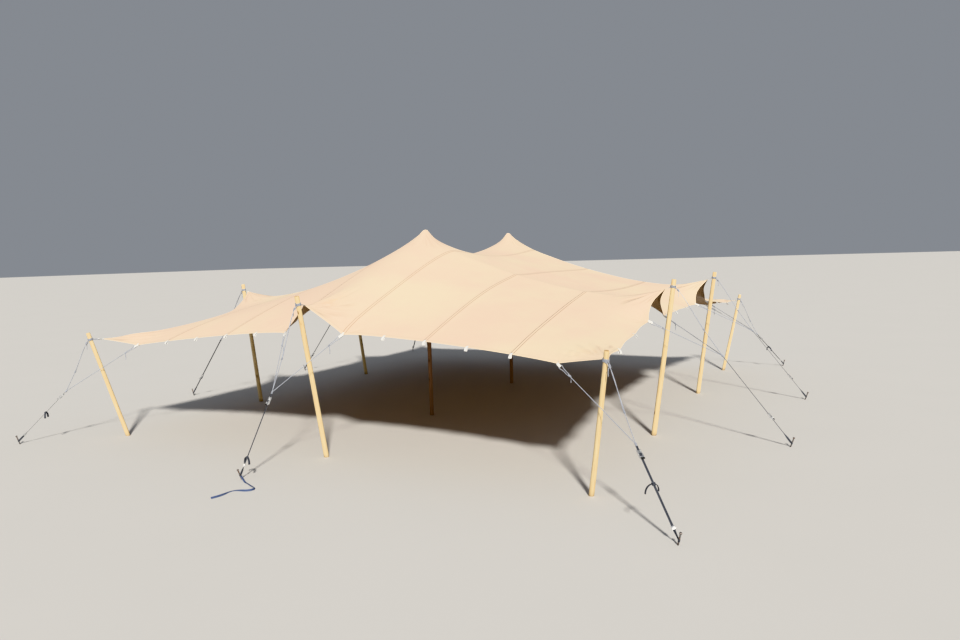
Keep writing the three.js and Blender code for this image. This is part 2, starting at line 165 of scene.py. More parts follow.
def new_piece(name: str, points: Array, faces: Sequence[Sequence[int]]) -> Piece:
    """Makes a smooth shaded mesh object.

    Args:
        name: The piece's name.
        points: One row for each corner.
        faces: The corners of each face.

    Returns:
        The new object, at the origin.
    """
    mesh = bpy.data.meshes.new(name)
    mesh.from_pydata(np.asarray(points).tolist(), [], [tuple(map(int, face)) for face in faces])
    mesh.polygons.foreach_set("use_smooth", [True] * len(mesh.polygons))
    mesh.update()
    piece = bpy.data.objects.new(name, mesh)
    bpy.context.scene.collection.objects.link(piece)
    return piece


def store(piece: Piece, attribute: str, values: Array) -> None:
    """Keeps a vector for each corner of a mesh, for its finish to read."""
    kept = piece.data.attributes.new(attribute, "FLOAT_VECTOR", "POINT")
    kept.data.foreach_set("vector", np.asarray(values, np.float32).ravel())


class Slot(Enum):
    """The record's material slots."""

    CLOTH = "canopy_cloth"
    WOOD = "pole_wood"
    RUBBER = "cap_rubber"
    ROPE = "guy_rope"
    WEBBING = "strap_webbing"
    STEEL = "stake_steel"


def settle(piece: Piece, slot: Slot, *finishes: "Finish") -> Piece:
    """Dresses a piece and lets it ride on the tent's one body.

    Args:
        piece: The finished piece.
        slot: The record's slot that its finish comes from; not used.
        finishes: The finishes of its material slots, in order.

    Returns:
        The piece.
    """
    for finish in finishes:
        piece.data.materials.append(finish.material())
    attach(piece, BODY)
    return piece


class NodeGraph:
    """The shader nodes of one new material."""

    def __init__(self, name: str) -> None:
        """Starts a material that has its principled shader and nothing else."""
        self.material = bpy.data.materials.new(name)
        self.material.use_nodes = True
        self.nodes = self.material.node_tree.nodes
        self.links = self.material.node_tree.links
        self.shader = self.nodes["Principled BSDF"]

    def feed(self, socket: Socket, value: object) -> None:
        """Links a socket to another one, or gives it a plain value or colour."""
        if isinstance(value, Socket):
            self.links.new(value, socket)
        else:
            socket.default_value = (*value, 1.0) if socket.type == "RGBA" else value

    def node(self, kind: str, inputs: dict | None = None, **settings: object) -> bpy.types.Node:
        """Adds a node.

        Args:
            kind: The node's type.
            inputs: Socket names or numbers with what goes into each.
            settings: The node's own properties.

        Returns:
            The node.
        """
        made = self.nodes.new(kind)
        for key, value in settings.items():
            setattr(made, key, value)
        for key, value in (inputs or {}).items():
            self.feed(made.inputs[key], value)
        return made

    def attribute(self, name: str) -> Socket:
        """Returns a stored vector of the mesh."""
        return self.node("ShaderNodeAttribute", attribute_name=name).outputs["Vector"]

    def place(self) -> Socket:
        """Returns the place in the tent's frame."""
        return self.node("ShaderNodeTexCoord").outputs["Object"]

    def parts(self, vector: Socket) -> tuple[Socket, ...]:
        """Returns the x, y and z of a vector."""
        return tuple(self.node("ShaderNodeSeparateXYZ", {0: vector}).outputs)

    def math(self, operation: str, *values: object) -> Socket:
        """Returns the result of a sum on numbers."""
        return self.node("ShaderNodeMath", dict(enumerate(values)), operation=operation).outputs[0]

    def times(self, first: object, second: object) -> Socket:
        """Returns the product of two numbers."""
        return self.math("MULTIPLY", first, second)

    def minus(self, first: object, second: object) -> Socket:
        """Returns one number less another."""
        return self.math("SUBTRACT", first, second)

    def fused(self, first: object, second: object, third: object) -> Socket:
        """Returns the product of two numbers plus a third."""
        return self.math("MULTIPLY_ADD", first, second, third)

    def noise(self, vector: Socket, scale: float | Point, detail: float = 3, rough: float = 0.5) -> Socket:
        """Returns cloudy noise from 0 to 1, with one scale for all ways or one for each."""
        if isinstance(scale, tuple):
            vector = self.node("ShaderNodeMapping", {"Vector": vector, "Scale": scale}).outputs[0]
            scale = 1.0
        inputs = {"Vector": vector, "Scale": scale, "Detail": detail, "Roughness": rough}
        return self.node("ShaderNodeTexNoise", inputs).outputs[0]

    def spread(self, value: object, low: float, high: float, to: tuple[float, float] = (0, 1)) -> Socket:
        """Returns a number eased from one range to another, and held at its ends."""
        inputs = {"Value": value, "From Min": low, "From Max": high, "To Min": to[0], "To Max": to[1]}
        return self.node("ShaderNodeMapRange", inputs, interpolation_type="SMOOTHSTEP").outputs[0]

    def near(self, value: object, place: float, reach: float) -> Socket:
        """Returns 1 where a number is at a place, falling to 0 at a reach from it."""
        return self.spread(self.math("ABSOLUTE", self.minus(value, place)), 0.0, reach, (1, 0))

    def mix(self, share: object, first: object, second: object) -> Socket:
        """Returns a blend of two colours."""
        return self.node("ShaderNodeMix", {0: share, 6: first, 7: second}, data_type="RGBA").outputs[2]

    def stain(
        self, under: object, over: object, cloud: object, low: float, high: float, most: float = 1
    ) -> Socket:
        """Returns a colour that another one covers, up to a share, as a cloud goes from low to high."""
        return self.mix(self.spread(cloud, low, high, (0, most)), under, over)

    def bump(self, height: object, depth: float, under: Socket | None = None) -> Socket:
        """Returns a normal pushed by a height from 0 to 1 that is so many metres deep."""
        inputs = {"Height": height, "Distance": depth, "Strength": 1.0}
        if under is not None:
            inputs["Normal"] = under
        return self.node("ShaderNodeBump", inputs).outputs[0]

    def dress(self, **sockets: object) -> Material:
        """Feeds the shader's sockets, named with underscores, and returns the material."""
        for key, value in sockets.items():
            self.feed(self.shader.inputs[key.replace("_", " ")], value)
        return self.material


@dataclass(frozen=True)
class Finish:
    """A surface finish with a name of its own, made once."""

    name: str

    def material(self) -> Material:
        """Returns the material, made at its first use."""
        return bpy.data.materials.get(self.name) or self.make(NodeGraph(self.name))

    def make(self, graph: NodeGraph) -> Material:
        """Dresses the nodes, in each kind of finish its own way."""
        raise NotImplementedError


@dataclass(frozen=True)
class ClothFinish(Finish):
    """Coated stretch knit with welded roll seams and a hem, read from the cloth's own flat metres."""

    pale: Colour
    deep: Colour
    line: Colour
    weld_line: float = 0.014
    hem_line: float = 0.005
    patch_shows: float = 0.0
    rays: float = 5.0
    crease_depth: float = 0.2
    pucker_reach: float = 0.16
    ribs: float = 170.0
    roughness: tuple[float, float] = (0.61, 0.76)

    def make(self, graph: NodeGraph) -> Material:
        """Builds the nodes.

        Args:
            graph: Nodes of the new material.

        Returns:
            The material.
        """
        flat = graph.attribute("cloth_metres")
        across, along, from_peak = graph.parts(flat)
        to_end = graph.math("MINIMUM", along, graph.minus(CLOTH_LENGTH, along))
        to_side = graph.math("MINIMUM", across, graph.minus(CLOTH_WIDTH, across))
        to_edge = graph.math("MINIMUM", to_end, to_side)
        inside = graph.spread(to_side, SEAMS_END_BEFORE_SIDE, 2 * SEAMS_END_BEFORE_SIDE)
        share = graph.minus(graph.math("FRACT", graph.fused(across, 1 / ROLL, 0.5)), 0.5)
        off_seam = graph.times(graph.math("ABSOLUTE", share), ROLL)
        pull = graph.attribute("pull")
        wrinkle = graph.parts(pull)[2]
        rays = graph.noise(pull, (self.rays, self.rays, 2.0), 2.0, 0.5)
        colour = self.knit(graph, flat)
        colour = graph.mix(graph.times(inside, self.welds(graph, off_seam)), colour, self.line)
        colour = graph.mix(graph.times(graph.near(to_edge, HEM, self.hem_line), 0.45), colour, self.line)
        colour = graph.mix(graph.spread(to_edge, HEM - 0.004, HEM + 0.002, (0.35, 0.0)), colour, self.pale)
        colour = graph.mix(graph.times(self.patch(graph, from_peak), self.patch_shows), colour, self.line)
        # Painted shade: the cloth is darker along the troughs of the crease bumps that run out from the held
        # places.
        painted_crease_shade = graph.times(graph.spread(rays, 0.5, 0.3), graph.times(wrinkle, 1.2))
        colour = graph.mix(painted_crease_shade, colour, self.line)
        pucker = graph.noise(flat, (2.5, 13.0, 1.0), 3.0, 0.6)
        by_seam = graph.times(graph.spread(off_seam, 0.0, self.pucker_reach, (1, 0)), inside)
        knit = {"Vector": flat, "Scale": self.ribs, "Distortion": 0.6}
        ribs = graph.node("ShaderNodeTexWave", knit, bands_direction="X").outputs[1]
        normal = graph.bump(graph.times(graph.minus(rays, 0.5), wrinkle), self.crease_depth)
        normal = graph.bump(graph.times(pucker, by_seam), 0.006, normal)
        normal = graph.bump(graph.noise(flat, 1.7, 4.0, 0.55), 0.012, normal)
        normal = graph.bump(ribs, 0.00012, normal)
        rough = graph.spread(graph.noise(flat, 9.0), 0.3, 0.7, self.roughness)
        return graph.dress(
            Base_Color=colour, Roughness=rough, Normal=normal, Specular_IOR_Level=0.25, Sheen_Weight=0.06
        )

    def knit(self, graph: NodeGraph, flat: Socket) -> Socket:
        """Returns the cloth's uneven colour: wide clouds, blotches and fine speckles."""
        moved = {"Vector": flat, "Scale": (1, 0.45, 1), "Location": (3, 8, 0)}
        blotches = graph.noise(graph.node("ShaderNodeMapping", moved).outputs[0], 2.4, 5.0, 0.62)
        colour = graph.stain(self.deep, self.pale, graph.noise(flat, 0.33, 4.0, 0.6), 0.3, 0.72)
        colour = graph.stain(colour, self.deep, blotches, 0.5, 0.78, 0.22)
        return graph.stain(colour, self.line, graph.noise(flat, 95.0, 3.0, 0.6), 0.35, 0.7, 0.1)

    def welds(self, graph: NodeGraph, off_seam: Socket) -> Socket:
        """Returns how dark a weld is: a line along each edge of the overlap, and a tint between them."""
        edge = WELD_OVERLAP / 2
        band = graph.spread(off_seam, edge - 0.004, edge + 0.004, (1, 0))
        return graph.fused(graph.near(off_seam, edge, self.weld_line), 0.95, graph.times(band, 0.05))

    def patch(self, graph: NodeGraph, from_peak: Socket) -> Socket:
        """Returns how dark the patch under a peak is, with its ring of stitches."""
        stitches = graph.near(from_peak, PATCH_RADIUS - 0.012, 0.004)
        sewn_on = graph.spread(from_peak, PATCH_RADIUS - 0.002, PATCH_RADIUS + 0.001, (0.3, 0.0))
        return graph.math("MAXIMUM", sewn_on, stitches)


@dataclass(frozen=True)
class WoodFinish(Finish):
    """Debarked round wood, whose grain runs along each pole."""

    pale: Colour = (0.88, 0.75, 0.46)
    brown: Colour = (0.7, 0.52, 0.28)
    knot: Colour = (0.26, 0.15, 0.07)
    soil: Colour = (0.19, 0.12, 0.07)
    soiled_up_to: float = 0.16

    def make(self, graph: NodeGraph) -> Material:
        """Builds the nodes.

        Args:
            graph: Nodes of the new material.

        Returns:
            The material.
        """
        local = graph.attribute("pole_metres")
        place = graph.place()
        grain = graph.noise(local, (95.0, 95.0, 2.6), 5.0, 0.65)
        fibre = graph.noise(local, (420.0, 420.0, 9.0), 3.0, 0.6)
        patches = graph.noise(local, (9.0, 9.0, 1.3), 4.0, 0.6)
        stretched = graph.node("ShaderNodeMapping", {"Vector": local, "Scale": (9.0, 9.0, 2.9)})
        cells = graph.node("ShaderNodeTexVoronoi", {"Vector": stretched.outputs[0], "Scale": 1.0})
        ripple = graph.fused(grain, 0.07, graph.math("ADD", cells.outputs["Distance"], -0.035))
        knots = graph.spread(ripple, 0.07, 0.14, (1, 0))
        colour = graph.stain(self.pale, self.brown, grain, 0.34, 0.7)
        colour = graph.stain(colour, self.brown, patches, 0.42, 0.7, 0.5)
        colour = graph.stain(colour, self.knot, fibre, 0.4, 0.75, 0.25)
        colour = graph.mix(graph.spread(ripple, 0.09, 0.34, (0.5, 0.0)), colour, self.brown)
        colour = graph.mix(knots, colour, self.knot)
        height = graph.fused(graph.noise(place, 9.0), 0.12, graph.parts(place)[2])
        colour = graph.mix(graph.spread(height, 0.02, self.soiled_up_to, (0.75, 0.0)), colour, self.soil)
        normal = graph.bump(knots, 0.0015, graph.bump(fibre, 0.0006, graph.bump(grain, 0.0022)))
        rough = graph.spread(grain, 0.3, 0.7, (0.56, 0.8))
        return graph.dress(Base_Color=colour, Roughness=rough, Normal=normal, Specular_IOR_Level=0.35)


@dataclass(frozen=True)
class EndGrainFinish(Finish):
    """The sawn end of a round pole, with its year rings and drying cracks."""

    pale: Colour = (0.66, 0.47, 0.25)
    ring: Colour = (0.34, 0.2, 0.09)
    crack: Colour = (0.06, 0.035, 0.02)

    def make(self, graph: NodeGraph) -> Material:
        """Builds the nodes.

        Args:
            graph: Nodes of the new material.

        Returns:
            The material.
        """
        local = graph.attribute("pole_metres")
        wobble = graph.noise(local, 30.0)
        x, y, _ = graph.parts(local)
        radius = graph.math("SQRT", graph.math("ADD", graph.times(x, x), graph.times(y, y)))
        rings = graph.math("SINE", graph.fused(wobble, 9.0, graph.times(radius, 1300.0)))
        colour = graph.stain(self.pale, self.ring, rings, -0.2, 1.0)
        turn = graph.times(graph.math("ARCTAN2", y, x), 2.5)
        cracks = graph.near(graph.math("SINE", graph.fused(wobble, 2.0, turn)), 0.0, 0.05)
        colour = graph.mix(graph.times(cracks, 0.8), colour, self.crack)
        normal = graph.bump(graph.minus(rings, cracks), 0.0008)
        return graph.dress(Base_Color=colour, Roughness=0.82, Normal=normal)


@dataclass(frozen=True)
class RopeFinish(Finish):
    """Twisted rope, read from its share around, its metres along and its grooves."""

    pale: Colour
    dark: Colour
    yarns: float = 12.0

    def make(self, graph: NodeGraph) -> Material:
        """Builds the nodes.

        Args:
            graph: Nodes of the new material.

        Returns:
            The material.
        """
        around, along, crest = graph.parts(graph.attribute("rope_metres"))
        yarns = graph.math("SINE", graph.fused(along, 240.0, graph.times(around, self.yarns * math.tau)))
        # Painted shade: the rope is darker in the grooves between its strands and, faintly, between its yarns;
        # the cloudy stain is dirt.
        colour = graph.stain(self.dark, self.pale, crest, 0.0, 1.0)
        colour = graph.stain(colour, self.dark, graph.noise(graph.place(), 6.0, 4.0), 0.45, 0.75, 0.4)
        colour = graph.stain(colour, self.dark, yarns, -1.0, 1.0, 0.16)
        normal = graph.bump(graph.fused(graph.noise(graph.place(), 900.0, 2.0), 0.6, yarns), 0.0005)
        return graph.dress(Base_Color=colour, Roughness=0.86, Normal=normal, Sheen_Weight=0.2)


@dataclass(frozen=True)
class WebbingFinish(Finish):
    """Woven webbing with ribs across it and a selvedge, read from its metres across and along."""

    cloth: Colour
    selvedge: Colour
    width: float
    # The colour of the painted shade in the hollows of the weave.
    gap: Colour = (0.02, 0.02, 0.02)
    rib: float = 0.0024
    weft: float = 0.00336

    def make(self, graph: NodeGraph) -> Material:
        """Builds the nodes.

        Args:
            graph: Nodes of the new material.

        Returns:
            The material.
        """
        strap = graph.attribute("strap_metres")
        across, along, _ = graph.parts(strap)
        ribs = graph.math("SINE", graph.times(along, math.tau / self.rib))
        weave = graph.times(ribs, graph.math("SINE", graph.times(across, math.tau / self.weft)))
        edge = self.width / 2
        worn = graph.noise(strap, (20.0, 3.0, 1.0), 4.0, 0.6)
        off_middle = graph.math("ABSOLUTE", across)
        colour = graph.stain(self.cloth, self.selvedge, off_middle, edge - 0.006, edge - 0.003)
        colour = graph.stain(colour, self.selvedge, worn, 0.45, 0.75, 0.45)
        # Painted shade: the webbing is darker in the hollows of its weave.
        colour = graph.mix(graph.spread(weave, -1.0, 1.0, (0.25, 0.0)), colour, self.gap)
        return graph.dress(Base_Color=colour, Roughness=0.75, Normal=graph.bump(weave, 0.0004))


@dataclass(frozen=True)
class SteelFinish(Finish):
    """Zinc plated or forged steel, dulled in patches and rusted where it is bare."""

    steel: Colour
    dull: Colour
    rusted: float
    rust: Colour = (0.2, 0.085, 0.035)

    def make(self, graph: NodeGraph) -> Material:
        """Builds the nodes.

        Args:
            graph: Nodes of the new material.

        Returns:
            The material.
        """
        place = graph.place()
        spangle = graph.node("ShaderNodeTexVoronoi", {"Vector": place, "Scale": 160.0}).outputs["Distance"]
        scratches = graph.noise(place, (700.0, 700.0, 60.0), 2.0)
        bare_from = 0.72 - self.rusted * 0.3
        bare = graph.spread(graph.noise(place, 38.0, 5.0, 0.65), bare_from, bare_from + 0.1)
        colour = graph.mix(bare, graph.stain(self.steel, self.dull, spangle, 0.1, 0.8), self.rust)
        metal = graph.spread(bare, 0.0, 1.0, (1.0, 0.1))
        rough = graph.fused(bare, 0.4, graph.spread(scratches, 0.3, 0.7, (0.26, 0.46)))
        normal = graph.bump(graph.fused(bare, 0.8, scratches), 0.0003)
        return graph.dress(Base_Color=colour, Metallic=metal, Roughness=rough, Normal=normal)


@dataclass(frozen=True)
class RubberFinish(Finish):
    """Moulded black rubber, dusty in patches."""

    black: Colour = (0.018, 0.018, 0.018)
    dust: Colour = (0.16, 0.14, 0.12)

    def make(self, graph: NodeGraph) -> Material:
        """Builds the nodes.

        Args:
            graph: Nodes of the new material.

        Returns:
            The material.
        """
        place = graph.place()
        colour = graph.stain(self.black, self.dust, graph.noise(place, 26.0, 5.0, 0.6), 0.42, 0.8, 0.6)
        grit = graph.bump(graph.noise(place, 700.0, 2.0), 0.0003)
        return graph.dress(Base_Color=colour, Roughness=0.72, Normal=grit)


@dataclass(frozen=True)
class FloorFinish(Finish):
    """The plain pale studio floor."""

    pale: Colour = (0.62, 0.61, 0.59)
    dimmer: float = 0.97

    def make(self, graph: NodeGraph) -> Material:
        """Builds the nodes.

        Args:
            graph: Nodes of the new material.

        Returns:
            The material.
        """
        dim = tuple(channel * self.dimmer for channel in self.pale)
        colour = graph.mix(graph.noise(graph.place(), 0.4, 4.0), self.pale, dim)
        return graph.dress(Base_Color=colour, Roughness=0.9, Specular_IOR_Level=0.1)


CLOTH_TOP = ClothFinish(
    "cream_stretch_cloth", (0.92, 0.78, 0.57), deep=(0.9, 0.7, 0.54), line=(0.28, 0.19, 0.14)
)
# Painted shade: the underside is a darker, browner copy of the same cloth, which stands in for the shade under
# the canopy.
SHADED_CLOTH_UNDER = ClothFinish(
    "cloth_underside_painted_shade", (0.38, 0.26, 0.16), deep=(0.33, 0.22, 0.13), line=(0.17, 0.11, 0.07), patch_shows=1.0
)
PALE_WOOD = WoodFinish("pale_round_wood")
# Painted shade: a darker copy of the pole wood for the main poles, which stand in the shade under the canopy.
SHADED_MAIN_POLE_WOOD = WoodFinish(
    "main_pole_wood_painted_shade", pale=(0.36, 0.23, 0.16), brown=(0.24, 0.14, 0.095), knot=(0.07, 0.04, 0.025)
)
END_GRAIN = EndGrainFinish("sawn_end_grain")
GUY_ROPE = RopeFinish("guy_rope_blue_grey", pale=(0.5, 0.53, 0.6), dark=(0.24, 0.26, 0.31))
TAB_WEBBING = WebbingFinish("white_tab_webbing", (0.82, 0.82, 0.8), (0.7, 0.7, 0.69), 0.042)
STRAP_WEBBING = WebbingFinish("dark_strap_webbing", (0.04, 0.046, 0.062), (0.11, 0.12, 0.145), STRAP_WIDTH)
TAIL_WEBBING = WebbingFinish("blue_strap_webbing", (0.06, 0.095, 0.21), (0.26, 0.3, 0.42), STRAP_WIDTH)
PLATED_STEEL = SteelFinish("plated_ratchet_steel", (0.88, 0.89, 0.9), (0.62, 0.63, 0.64), rusted=0.1)
STAKE_STEEL = SteelFinish("forged_stake_steel", (0.4, 0.4, 0.4), (0.24, 0.23, 0.22), rusted=0.7)
CAP_RUBBER = RubberFinish("cap_rubber_black")
GRIP_RUBBER = RubberFinish("grip_rubber_black", dust=(0.08, 0.075, 0.07))
STUDIO_FLOOR = FloorFinish("studio_floor_pale")


def take(piece: Piece) -> None:
    """Selects one object and nothing else."""
    bpy.ops.object.select_all(action="DESELECT")
    piece.select_set(True)
    bpy.context.view_layer.objects.active = piece


def added(add: Callable[..., object], at: Point, turn: Point = (0, 0, 0), **sizes: object) -> Piece:
    """Adds a primitive of a kind at a place and applies its place, turn and size."""
    bpy.ops.object.select_all(action="DESELECT")
    add(location=at, rotation=turn, **sizes)
    bpy.ops.object.transform_apply(location=True, rotation=True, scale=True)
    return bpy.context.object


def cylinder(radius: float, depth: float, at: Point, sides: int, turn: Point = (0, 0, 0)) -> Piece:
    """Adds a cylinder, upright before its turn."""
    return added(bpy.ops.mesh.primitive_cylinder_add, at, turn, vertices=sides, radius=radius, depth=depth)


def slab(size: Point, at: Point, turn: Point = (0, 0, 0)) -> Piece:
    """Adds a box of a size at a place."""
    return added(bpy.ops.mesh.primitive_cube_add, at, turn, size=1.0, scale=size)


@contextmanager
def editing(piece: Piece, kind: str) -> Iterator[None]:
    """Opens a piece in edit mode with nothing selected, and closes it again.

    Args:
        piece: Mesh object.
        kind: VERT, EDGE or FACE.

    Returns:
        Nothing, in between.
    """
    take(piece)
    bpy.ops.object.mode_set(mode="EDIT")
    bpy.ops.mesh.select_mode(type=kind)
    bpy.ops.mesh.select_all(action="DESELECT")
    yield
    bpy.ops.object.mode_set(mode="OBJECT")


def pick(piece: Piece, kind: str, test: Callable[[object], bool]) -> None:
    """Selects only the corners, edges or faces that pass a test, in edit mode.

    Args:
        piece: The piece that is open in edit mode.
        kind: Which of its elements are tested: verts, edges or faces.
        test: Takes one element and says whether it is wanted.
    """
    bpy.ops.mesh.select_all(action="DESELECT")
    mesh = bmesh.from_edit_mesh(piece.data)
    for element in getattr(mesh, kind):
        if test(element):
            element.select_set(True)
    bmesh.update_edit_mesh(piece.data)


def pick_across(piece: Piece, length: float) -> None:
    """Selects only the edges that reach further than a length across X."""
    pick(piece, "edges", lambda e: abs(e.verts[0].co.x - e.verts[1].co.x) > length)


def cut_level(piece: Piece, height: float) -> None:
    """Cuts away what is below a height and closes the cut."""
    with editing(piece, "FACE"):
        bpy.ops.mesh.select_all(action="SELECT")
        bpy.ops.mesh.bisect(plane_co=(0, 0, height), plane_no=(0, 0, 1), use_fill=True, clear_inner=True)


def modify(piece: Piece, kind: str, **settings: object) -> None:
    """Adds a modifier of a kind to a piece and applies it."""
    take(piece)
    modifier = piece.modifiers.new(kind, kind)
    for key, value in settings.items():
        setattr(modifier, key, value)
    bpy.ops.object.modifier_apply(modifier=modifier.name)


def ease(piece: Piece, width: float, segments: int = 2, angle: float = 40.0) -> None:
    """Rounds the sharp edges of a piece."""
    limit = math.radians(angle)
    modify(piece, "BEVEL", width=width, segments=segments, limit_method="ANGLE", angle_limit=limit)


def soften(piece: Piece, angle: float = 35.0) -> None:
    """Shades a piece smooth except over its sharp edges."""
    take(piece)
    bpy.ops.object.shade_smooth_by_angle(angle=math.radians(angle))


def join(name: str, pieces: Sequence[Piece]) -> Piece:
    """Joins pieces.

    Args:
        name: Name of the one that they become.
        pieces: Mesh objects.

    Returns:
        The joined piece.
    """
    take(pieces[0])
    for piece in pieces[1:]:
        piece.select_set(True)
    if len(pieces) > 1:
        bpy.ops.object.join()
    return named(bpy.context.object, name)


def named(piece: Piece, name: str) -> Piece:
    """Gives an object and its mesh a name."""
    piece.name = piece.data.name = name
    return piece


def copy(name: str, master: Piece, matrix: Matrix) -> Piece:
    """Copies a piece with a mesh of its own.

    Args:
        name: Name of the copy.
        master: Piece that is copied.
        matrix: What puts the copy in place.

    Returns:
        The copy.
    """
    mesh = master.data.copy()
    mesh.name = name
    mesh.transform(matrix)
    piece = bpy.data.objects.new(name, mesh)
    bpy.context.scene.collection.objects.link(piece)
    return piece


def carried_frames(route: Array) -> tuple[Array, Array]:
    """Carries a pair of cross directions along a route without twist, level at its start.

    Args:
        route: The steps of the route.

    Returns:
        The side and up directions at each step.
    """
    forward = unit(np.gradient(route, axis=0))
    side = np.cross(forward[0], UP)
    if np.linalg.norm(side) < 1e-6:
        side = np.array([1.0, 0.0, 0.0])
    sides = []
    for ahead in forward:
        side = square_to(side, ahead)
        sides.append(side)
    return np.array(sides), np.cross(sides, forward)


def loft(name: str, rings: Array, closed: bool = False) -> Piece:
    """Joins rings of equally many corners into a tube with flat ends.

    Args:
        name: The piece's name.
        rings: An array of rings, corners and three places.
        closed: Whether the last ring joins the first.

    Returns:
        The tube, whose corners are in the order of the rings.
    """
    here = np.arange(rings.shape[0] * rings.shape[1]).reshape(rings.shape[:2])
    ahead = np.roll(here, -1, axis=0)
    walls = np.stack([here, np.roll(here, -1, axis=1), np.roll(ahead, -1, axis=1), ahead], -1)
    if closed:
        return new_piece(name, rings.reshape(-1, 3), walls.reshape(-1, 4))
    return new_piece(name, rings.reshape(-1, 3), [*walls[:-1].reshape(-1, 4), here[0, ::-1], here[-1]])


@dataclass
class TwistedRope:
    """Three strand rope: a lobed section that twists along its route."""

    radius: float = 0.006
    lobes: int = 3
    corners: int = 12
    lay: float = 0.05
    groove: float = 0.16
    step: float = 0.0065
    end_share: float = 0.7

    def build(self, points: Sequence[Point], closed: bool = False) -> Piece:
        """Lays the rope along points.

        Args:
            points: The points that the rope goes through.
            closed: Whether its end joins its start.

        Returns:
            The rope.
        """
        route = smooth_route(np.vstack([points, points[:1]]) if closed else points, self.step)
        if closed:
            route = route[:-1]
        side, up = carried_frames(route)
        along = metres_along(route)[:, None]
        turn = np.arange(self.corners) / self.corners
        lobe = 0.5 + 0.5 * np.cos(self.lobes * math.tau * (turn - along / self.lay))
        radius = self.radius * (1 - self.groove * (1 - lobe))
        if not closed:
            radius[[0, -1]] *= self.end_share
        across = (radius * np.cos(math.tau * turn))[..., None] * side[:, None]
        rise = (radius * np.sin(math.tau * turn))[..., None] * up[:, None]
        piece = loft("rope", route[:, None] + across + rise, closed)
        store(piece, "rope_metres", np.stack(np.broadcast_arrays(turn, along, lobe), -1))
        return piece


@dataclass
class FlatWebbing:
    """A flat woven band with rounded edges that follows a route."""

    width: float
    thickness: float
    edge_share: float = 0.35

    def build(self, route: Array, side: Array, closed: bool = False) -> Piece:
        """Lays the band along steps.

        Args:
            route: The steps of the band's middle.
            side: The direction of its width, the same for all steps or one for each.
            closed: Whether its end joins its start.

        Returns:
            The band.
        """
        ahead = np.gradient(route, axis=0)
        if closed:
            ahead = np.roll(route, -1, axis=0) - np.roll(route, 1, axis=0)
        forward = unit(ahead)
        side = square_to(side, forward)
        face = np.cross(side, forward)
        half, thin = self.width / 2, self.thickness / 2
        inner, edge = half - thin, thin * self.edge_share
        below = np.array([(-inner, -thin), (0, -thin), (inner, -thin), (half, -edge), (half, edge)])
        shape = np.concatenate([below, -below])
        rings = route[:, None] + shape[:, :1] * side[:, None] + shape[:, 1:] * face[:, None]
        piece = loft("webbing", rings, closed)
        metres = np.broadcast_arrays(shape[:, 0], metres_along(route)[:, None], 0.0)
        store(piece, "strap_metres", np.stack(metres, -1))
        return piece


@dataclass(frozen=True)
class Fold:
    """One soft fold of the cloth, from one place to another in cloth metres."""

    start: tuple[float, float]
    end: tuple[float, float]
    height: float
    width: float
    early: float = 0.6

    def lift(self, x: Array, y: Array) -> Array:
        """Measures how far the fold lifts the cloth.

        Args:
            x: Cloth metres across, of any shape.
            y: Cloth metres along, alike.

        Returns:
            The lift: a rounded crest with a shallow trough on each side, fading out at both ends.
        """
        share, beside = self.seen_from(x, y)
        fade = np.sin(math.pi * share**self.early) ** 2
        square = (beside / (self.width * (0.75 + 0.5 * share))) ** 2
        return self.height * fade * (1 - 0.8 * square) * np.exp(-square / 1.6)

    def seen_from(self, x: Array, y: Array) -> tuple[Array, Array]:
        """Finds points along and beside the fold.

        Args:
            x: Cloth metres across, of any shape.
            y: Cloth metres along, alike.

        Returns:
            How far along the fold each point is, as a share, and how many metres beside it.
        """
        run = np.subtract(self.end, self.start)
        length = float(np.hypot(*run))
        off_x, off_y = x - self.start[0], y - self.start[1]
        share = (off_x * run[0] + off_y * run[1]) / length**2
        return np.clip(share, 0, 1), (off_y * run[0] - off_x * run[1]) / length


@dataclass(frozen=True)
class Ridge(Fold):
    """The crest between a peak and the tip at a side pole, where the cloth turns over."""

    def lift(self, x: Array, y: Array) -> Array:
        """Measures how far the ridge lifts the cloth.

        Args:
            x: Cloth metres across, of any shape.
            y: Cloth metres along, alike.

        Returns:
            The lift: a crest that falls away quickly on both sides, and softly at its ends.
        """
        share, beside = self.seen_from(x, y)
        away = np.sqrt((beside / self.width) ** 2 + 0.015) - 0.12
        return self.height * eased(np.minimum(share, 1 - share), 0, 0.25) * np.exp(-away)


@dataclass(frozen=True)
class Fan:
    """A few loose folds that run out from one held place, each a little different."""

    count: int
    height: float
    reach: float
    half_angle: float
    stray: float = 4.0
    early: float = 0.55

    def folds(self, rng: np.random.Generator, x: float, y: float, middle: float) -> list[Fold]:
        """Draws the folds.

        Args:
            rng: Where their differences come from.
            x: Cloth metres across of the held place.
            y: Cloth metres along of the held place.
            middle: The way that the middle of the fan points, in degrees.

        Returns:
            The folds.
        """
        found = []
        for k in range(self.count):
            spread = 2 * self.half_angle * (k + 0.5) / self.count
            turn = math.radians(middle - self.half_angle + spread + rng.uniform(-self.stray, self.stray))
            length = self.reach * rng.uniform(0.7, 1.2)
            near = 0.05 + 0.05 * rng.random()
            width = 0.042 + 0.02 * rng.random()
            ends = [(x + far * math.cos(turn), y + far * math.sin(turn)) for far in (near, length)]
            found.append(Fold(*ends, self.height * rng.uniform(0.6, 1.15), width, self.early))
        return found


